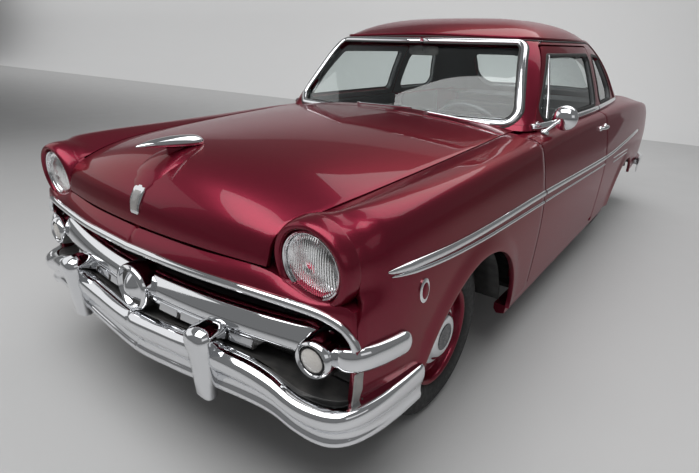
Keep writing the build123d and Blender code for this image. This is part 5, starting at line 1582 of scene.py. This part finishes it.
outward(new_piece("hood_crest", *crest(1.0, 0, 6), CHROME, "hood", "chrome", sharp=40))
outward(new_piece("hood_crest_field", *crest(0.72, 4, 5), SILVER, "hood", "chrome", sharp=40))

# Side floors of the trunk, from the floor pan to the quarter panels
trunk_side = solid_grid([[(x, 1645, 458), (x, 2376, 458), (x, 2376, 464), (x, 1645, 464)] for x in (540, 850)])
outward(new_piece("trunk_side_floors", *both(trunk_side), UNDER, "body", "black_steel", sharp=30))

# Tail lamps and the trunk's handle

TAIL_AT = (HALF_WIDTH - 156, TAIL_Y, 770)
lamp_rim = [(60, 0), (78, 0), (79, 16), (77, 34), (73, 46), (68, 50), (64, 49), (62, 42)]
new_piece("tail_lamp_rims", *both(lathe(lamp_rim, TAIL_AT, (0, 1, 0))), CHROME, "body", "chrome", sharp=60)
lamp_lens = [(65, 36), (64, 46), (57, 55), (42, 61), (29, 63), (27, 62)]
red_lens = both(lathe(lamp_lens, TAIL_AT, (0, 1, 0)))
new_piece("tail_lamp_lenses", *red_lens, RED_LENS, "body", "lamp_red", ["tail_lamps"], sharp=60)
lamp_eye = [(29, 58), (28, 64), (20, 67), (0, 68.5)]
new_piece("tail_lamp_eyes", *both(lathe(lamp_eye, TAIL_AT, (0, 1, 0), 40)), PALE_LENS, "body", "lamp_red", sharp=0)
grip_rows = [(strip_point(DECK[-2], x / 640) + Vector((0, 12, 4))) for x in [-80 + 160 * k / 16 for k in range(17)]]
grip = sweep(grip_rows, [(0, 1, 0.3)] * 17, oval(9, 13, 14))
outward(new_piece("trunk_handle", *grip, CHROME, "trunk_lid", "chrome", sharp=50))

# Wheels

TYRE_HALF = [
    (195, -62), (209, -62), (216, -71), (224, -79), (240, -83), (262, -85), (276, -85), (281, -86.3), (285, -84),
    (292, -80.5), (307, -75), (322, -68), (334, -60), (341, -49), (344, -40), (344.6, -33), (337, -31.5), (337, -27),
    (344.8, -25.5), (345, -12), (337, -10.5), (337, -6), (345, -4.5),
]
TYRE_LINE = TYRE_HALF + [(r, -h) for r, h in reversed(TYRE_HALF)]
SHOULDER_ROWS = (12, 13, 14)
TYRE_STEPS = 160


def tyre(x, y):
    """A tyre with ribs round it and cross cuts on its shoulders."""
    verts, faces = lathe(TYRE_LINE, (x, y, TYRE_RADIUS), (1, 0, 0), TYRE_STEPS)
    for row, (r, h) in enumerate(TYRE_LINE):
        if min(row, len(TYRE_LINE) - 1 - row) in SHOULDER_ROWS:
            middle = Vector((x + h, y, TYRE_RADIUS))
            for k in range(0, TYRE_STEPS, 4):
                i = row * TYRE_STEPS + k
                verts[i] = tuple(middle + (Vector(verts[i]) - middle) * (1 - 5 / r))
    return verts, faces


WHEEL_LINE = [
    (206, 63), (207, 70), (205, 75.5), (200, 77), (194, 75), (189, 70), (186, 60), (185, 36), (180, 28), (171, 24),
    (166, 21), (160, 24), (150, 34), (139, 43), (128, 46), (112, 46), (112, 40), (134, 39), (152, 28), (164, 12),
    (168, -10), (186, -20), (186, -75), (206, -76), (206, -63), (194, -62), (194, 62),
]
CAP_LINE = [
    (129, 44), (130, 48), (128, 55), (124, 60), (117, 63), (109, 65), (103, 66), (97, 71), (90, 80), (83, 87),
    (72, 90), (60, 91), (56, 90),
]
CAP_EYE = [(57, 88), (55, 91), (48, 92), (44, 90.5), (24, 93), (0, 94)]
DRUM_LINE = [
    (19, -40), (42, -40), (42, -33), (146, -32), (150, -28), (150, 8), (146, 12), (42, 12), (42, 38), (19, 38),
]
EYE = material("cap_eye", (0.030, 0.033, 0.040), 0.25, 0.4, Coat_Weight=0.6)
noise_into(EYE, "Roughness", 80.0, 0.2, 0.35)
for row, track, y in (("front", FRONT_TRACK, FRONT_AXLE_Y), ("rear", REAR_TRACK, REAR_AXLE_Y)):
    for name, side in (("left", 1), ("right", -1)):
        key = f"{row}_{name}"
        ride = f"wheel_{key}"
        at, out = (side * track / 2, y, TYRE_RADIUS), (side, 0, 0)
        new_piece(f"tyre_body_{key}", *tyre(at[0], y), TYRE, ride, "tyre", [f"tyre_{key}"], sharp=35)
        disc = lathe(WHEEL_LINE, at, out, 96)
        new_piece(f"wheel_disc_{key}", *disc, PAINT, ride, "paint", [f"wheel_{key}"], sharp=40)
        new_piece(f"wheel_cap_{key}", *lathe(CAP_LINE, at, out, 96), CHROME, ride, "chrome", sharp=50)
        new_piece(f"wheel_eye_{key}", *lathe(CAP_EYE, at, out, 64), EYE, ride, "plastic", sharp=50)
        new_piece(f"wheel_drum_{key}", *lathe(DRUM_LINE, at, out, 64), IRON, ride, "cast_iron", sharp=40)

ARCH_STEPS = 36
liner = []
for k in range(ARCH_STEPS + 1):
    a = radians(8 + 164 * k / ARCH_STEPS)
    for x in (590, 700, 800, 862):
        liner.append((x, FRONT_AXLE_Y + 15 + 460 * cos(a), 262 + 460 * sin(a)))
liners = both((liner, grid_faces(ARCH_STEPS + 1, 4)))
thick(new_piece("arch_liners", *liners, UNDER, "body", "black_steel", sharp=0), 4, 0)

# Cabin


def cushion(outline, half, face, pitch=66, puff=9.0, rounding=52):
    """A stuffed, pleated cushion: a (y, z) outline carried across the car, with soft ends and sewn pleats."""
    pts = [Vector(p) for p in densify(rounded(outline, rounding, 6), 22)]
    middle = sum(pts, Vector((0, 0))) / len(pts)
    face = Vector(face).normalized()
    n = int(2 * half / pitch) * 10
    rows = []
    for k in range(n + 1):
        x = -half + 2 * half * k / n
        end = half - abs(x)
        pinch = 55 - sqrt(55**2 - (55 - end) ** 2) if end < 55 else 0.0
        fold = abs(sin(pi * (x + half) / pitch)) ** 0.55 - 0.72
        loop = []
        for p in pts:
            d = p - middle
            q = middle + d * max(0.15, 1 - 0.8 * pinch / d.length)
            f = max(0.0, min(1.0, (d.normalized().dot(face) - 0.25) / 0.4))
            q = q + face * puff * f * fold * min(1.0, end / 90)
            loop.append((x, q.x, q.y))
        rows.append(loop)
    return solid_grid(rows)


def bench_pieces(name, y, half, height, length):
    """A bench: pleated cushions for its two halves, on two risers."""
    floor, back_top = 324.3, 640
    top = floor + height
    seat_line = [(y, floor + 118), (y + length + 10, floor + 118), (y + length + 10, top - 12), (y, top)]
    back_line = [
        (y + length - 118, top - 58), (y + length + 28, top - 58),
        (y + length + 146, floor + back_top), (y + length + 42, floor + back_top),
    ]
    seat = cushion(seat_line, half, (-0.1, 1))
    back = cushion(back_line, half, (-1, 0.25), rounding=44)
    for part, shape, nodes in (("seat", seat, [name]), ("back", back, [])):
        piece = outward(new_piece(f"{name}_{part}", *shape, TRIM, "body", "fabric", nodes, sharp=0))
    rows = [[(x, y + 24, z), (x, y + length, z)] for x in (170, half - 20) for z in (floor, floor + 128)]
    corner = [p for r in rows for p in r]
    box_faces = [(0, 1, 3, 2), (4, 6, 7, 5), (0, 4, 5, 1), (2, 3, 7, 6), (0, 2, 6, 4), (1, 5, 7, 3)]
    soften(outward(new_piece(f"{name}_riser", *both((corner, box_faces)), DASH, "body", "plastic", sharp=30)), 8, 2)


bench_pieces("front_bench", COWL_Y + 697, HALF_WIDTH - 238, 300, 480)
bench_pieces("rear_bench", REAR_AXLE_Y - 678, HALF_WIDTH - 343, 330, 330)


def door_card():
    """The trimmed inner side of a door, without its armrest and crank, which are made apart."""
    verts = []
    ys = [DOOR_FRONT_Y + 34 + (DOOR_REAR_Y - DOOR_FRONT_Y - 68) * k / 24 for k in range(25)]
    for y in ys:
        verts += [tuple(p) for p in even(door_inside(y, 68, 13, SILL_Z + 22), 16)]
    return verts, grid_faces(25, 16)


REST_LOOP = ((752, 690), (690, 692), (684, 712), (692, 730), (752, 734))
rest = [[(x, -420 + 35 * k, z) for x, z in REST_LOOP] for k in range(13)]
crank = joined(
    lathe([(16, 0), (16, 8), (11, 14), (0, 15)], (744, -470, 800), (-1, 0, 0.1), 28),
    sweep([(732, -470, 800), (726, -440, 760), (724, -420, 730)], [(-1, 0, 0)] * 3, oval(6, 6)),
    lathe([(9, 0), (12, 10), (12, 30), (8, 36), (0, 37)], (726, -420, 730), (-1, 0, 0), 24),
)
for name, turn in SIDES:
    ride = f"door_{name}"
    thick(new_piece(f"door_card_{name}", *turn(door_card()), TRIM, ride, "fabric", sharp=0), 3, 0, 1.0)
    soften(outward(new_piece(f"door_rest_{name}", *turn(solid_grid(rest)), DASH, ride, "plastic", sharp=40)), 10, 3)
    new_piece(f"door_crank_{name}", *turn(crank), CHROME, ride, "chrome", sharp=50)

side_card = []
for k in range(13):
    y = DOOR_REAR_Y + 24 + 620 * k / 12
    side_card += [(696, y, 1036), (690, y, 900), (660, y, 700), (640, y, 560), (632, y, 360)]
thick(new_piece("rear_side_cards", *both((side_card, grid_faces(13, 5))), TRIM, "body", "fabric", sharp=0), 3, 0, 1.0)

LINING_MIDDLE = ROOF_MIDDLE - Vector((0, 0, 40))
LINING_SHARES = (1.0, 0.66, 0.33, 0.02)
lining = [[tuple(LINING_MIDDLE + (p - ROOF_MIDDLE) * f * 1.06) for p in top_edge(64)] for f in LINING_SHARES]
verts, faces = loft(lining)
new_piece("roof_lining", verts, turned(faces), LINER, "body", "fabric", sharp=0)

# Steering wheel and dashboard

COLUMN_TOP = Vector((350, COWL_Y + 420, 905))
COLUMN_WAY = Vector((0, 342, 205)).normalized()
WHEEL_AT = COLUMN_TOP + COLUMN_WAY * 60
RIM_GREY = material("wheel_grey", (0.075, 0.083, 0.098), 0.25, Coat_Weight=0.5)
noise_into(RIM_GREY, "Roughness", 90.0, 0.2, 0.32)
ring_line = [(218 + 12 * cos(a), 12 * sin(a)) for a in [2 * pi * k / 16 for k in range(17)]]
hub_line = [(29, -58), (31, -30), (36, -8), (48, 2), (50, 10), (42, 18), (0, 22)]
spoke_parts = []
for way in (-1, 1):
    path = [WHEEL_AT + Vector((way * x, 0, 0)) - COLUMN_WAY * d for x, d in ((30, 4), (90, 8), (150, 6), (214, 0))]
    spoke_parts.append(sweep(path, [tuple(COLUMN_WAY)] * 4, oval(15, 6, 12)))
rim_parts = [lathe(ring_line, WHEEL_AT, COLUMN_WAY, 96), lathe(hub_line, WHEEL_AT, COLUMN_WAY, 48)]
wheel_mesh = joined(*rim_parts, *spoke_parts)
new_piece("steering_rim", *wheel_mesh, RIM_GREY, "steering_wheel", "plastic", ["steering_wheel"], sharp=50)
horn_line = [(135 + 5 * cos(a), 4 + 5 * sin(a)) for a in [2 * pi * k / 10 for k in range(11)]]
button = lathe([(34, 18), (30, 24), (0, 27)], WHEEL_AT, COLUMN_WAY, 40)
horn = joined(lathe(horn_line, WHEEL_AT, COLUMN_WAY, 72), button)
new_piece("steering_horn_ring", *horn, CHROME, "steering_wheel", "chrome", sharp=50)

DASH_Y = COWL_Y + 50
DASH_OUT = (0, 1, 0.12)
HUMP_LINE = ((60, 0), (110, 0.75), (170, 1.0), (238, 0.94), (246, 0.8), (240, -0.4))
hump = []
for k in range(17):
    u = -1 + 2 * k / 16
    tall = 46 * sqrt(max(0.0, 1 - u * u)) + 2
    hump.append([(350 + 150 * u, DASH_Y + d, 1004 + tall * h) for d, h in HUMP_LINE])
outward(new_piece("dash_hood", *solid_grid(hump), DASH, "body", "plastic", sharp=50))
dials = []
for x, r in ((300, 46), (410, 46), (110, 34), (30, 34)):
    line = [(r + 5, 0), (r + 4, 7), (r, 8), (r - 3, 5), (0, 4)]
    dials.append(lathe(line, (x, DASH_Y + 246, 906), DASH_OUT, 40))
new_piece("dash_dials", *joined(*dials), CHROME, "body", "chrome", sharp=50)
strip_path = [(-660 + 1320 * k / 30, DASH_Y + 240, 840) for k in range(31)]
strip = sweep(strip_path, [DASH_OUT] * 31, round_profile(26, 9))
outward(new_piece("dash_strip", *strip, CHROME, "body", "chrome", sharp=50))


# Finish of the CAD nodes that stay as they are

BY_NODE = {
    PAINT: "rocker_panels tail_panel",
    CHROME: "wipers",
    UNDER: "chassis_frame floor_pan radiator_support drive_shaft exhaust fuel_tank rear_axle "
    "front_suspension knuckle_left knuckle_right",
    IRON: "engine_block",
    TRIM: "parcel_shelf",
    DASH: "dashboard",
}
for mat, names in BY_NODE.items():
    for name in names.split():
        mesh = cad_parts[name].data
        mesh.materials.clear()
        mesh.materials.append(mat)


# Floor, light and camera


def area(name, place, target, width, depth, power):
    """A soft lamp that looks at a place."""
    lamp = bpy.data.lights.new(name, "AREA")
    lamp.shape = "RECTANGLE"
    lamp.size, lamp.size_y = width, depth
    lamp.energy = power
    obj = bpy.data.objects.new(name, lamp)
    bpy.context.scene.collection.objects.link(obj)
    obj.location = place
    obj.rotation_euler = (Vector(target) - Vector(place)).to_track_quat("-Z", "Y").to_euler()
    return obj


def stage():
    """Floor, backdrop, world and soft lamps, in metres."""
    mesh = bpy.data.meshes.new("floor")
    mesh.from_pydata([(x, y, 0) for x, y in oval(60, 60, 64)], [], [tuple(range(64))])
    pale = material("floor_pale", (0.56, 0.56, 0.56), 0.55)
    noise_into(pale, "Roughness", 3.0, 0.5, 0.62)
    mesh.materials.append(pale)
    floor = bpy.data.objects.new("floor", mesh)
    bpy.context.scene.collection.objects.link(floor)
    wall = [(6.5 + 2.2 * sin(a), 2.2 - 2.2 * cos(a)) for a in [pi / 2 * k / 12 for k in range(13)]] + [(8.7, 7.0)]
    verts = [(x, y, z) for x in (-70, 2.3) for y, z in wall]
    mesh = bpy.data.meshes.new("backdrop")
    mesh.from_pydata(verts, [], grid_faces(2, len(wall)))
    mesh.shade_smooth()
    paper = material("backdrop_pale", (0.80, 0.80, 0.80), 0.8)
    noise_into(paper, "Roughness", 2.0, 0.75, 0.85)
    mesh.materials.append(paper)
    backdrop = bpy.data.objects.new("backdrop", mesh)
    bpy.context.scene.collection.objects.link(backdrop)
    world = bpy.data.worlds.new("studio")
    bpy.context.scene.world = world
    world.use_nodes = True
    back = world.node_tree.nodes["Background"]
    back.inputs["Color"].default_value = (0.86, 0.87, 0.88, 1)
    back.inputs["Strength"].default_value = 0.20
    area("key_front", (0.4, -3.1, 4.4), (0.1, -1.9, 0.8), 5.0, 3.0, 165)
    area("key_rear", (0.6, 2.0, 4.6), (0, 1.2, 1.0), 4.5, 4.0, 110)
    area("fill_left", (5.2, -2.6, 2.4), (0.5, -0.8, 0.6), 3.0, 1.4, 7)
    area("wash", (-14.0, 4.4, 5.4), (-14.0, 8.7, 2.2), 32.0, 1.2, 520)
    area("side_right", (-5.2, -3.6, 3.2), (0, -2.0, 0.8), 6.0, 3.4, 48)


stage()

scene = bpy.context.scene
scene.view_settings.view_transform = "Standard"
scene.view_settings.look = "None"
cam_data = bpy.data.cameras.new("photo_view")
cam = bpy.data.objects.new("photo_view", cam_data)
scene.collection.objects.link(cam)
# The photo's camera: place in metres, angles in degrees, focal length and picture width in pixels
CAMERA_AT = (1.5132, -3.2167, 1.4213)
AZIMUTH, ELEVATION, ROLL = 36.904, 21.617, 1.435
FOCAL_PIXELS, PHOTO_WIDTH_PIXELS = 488.86, 699
SENSOR_MM = 36
az, el, roll = radians(AZIMUTH), radians(ELEVATION), radians(ROLL)
back = Vector((sin(az) * cos(el), -cos(az) * cos(el), sin(el)))
right = Vector((cos(az), sin(az), 0))
up = back.cross(right)
right, up = right * cos(roll) + up * sin(roll), up * cos(roll) - right * sin(roll)
turn = Matrix((right, up, back)).transposed().to_4x4()
cam.matrix_world = Matrix.Translation(CAMERA_AT) @ turn
cam_data.sensor_width = SENSOR_MM
cam_data.lens = FOCAL_PIXELS / PHOTO_WIDTH_PIXELS * SENSOR_MM
scene.camera = cam
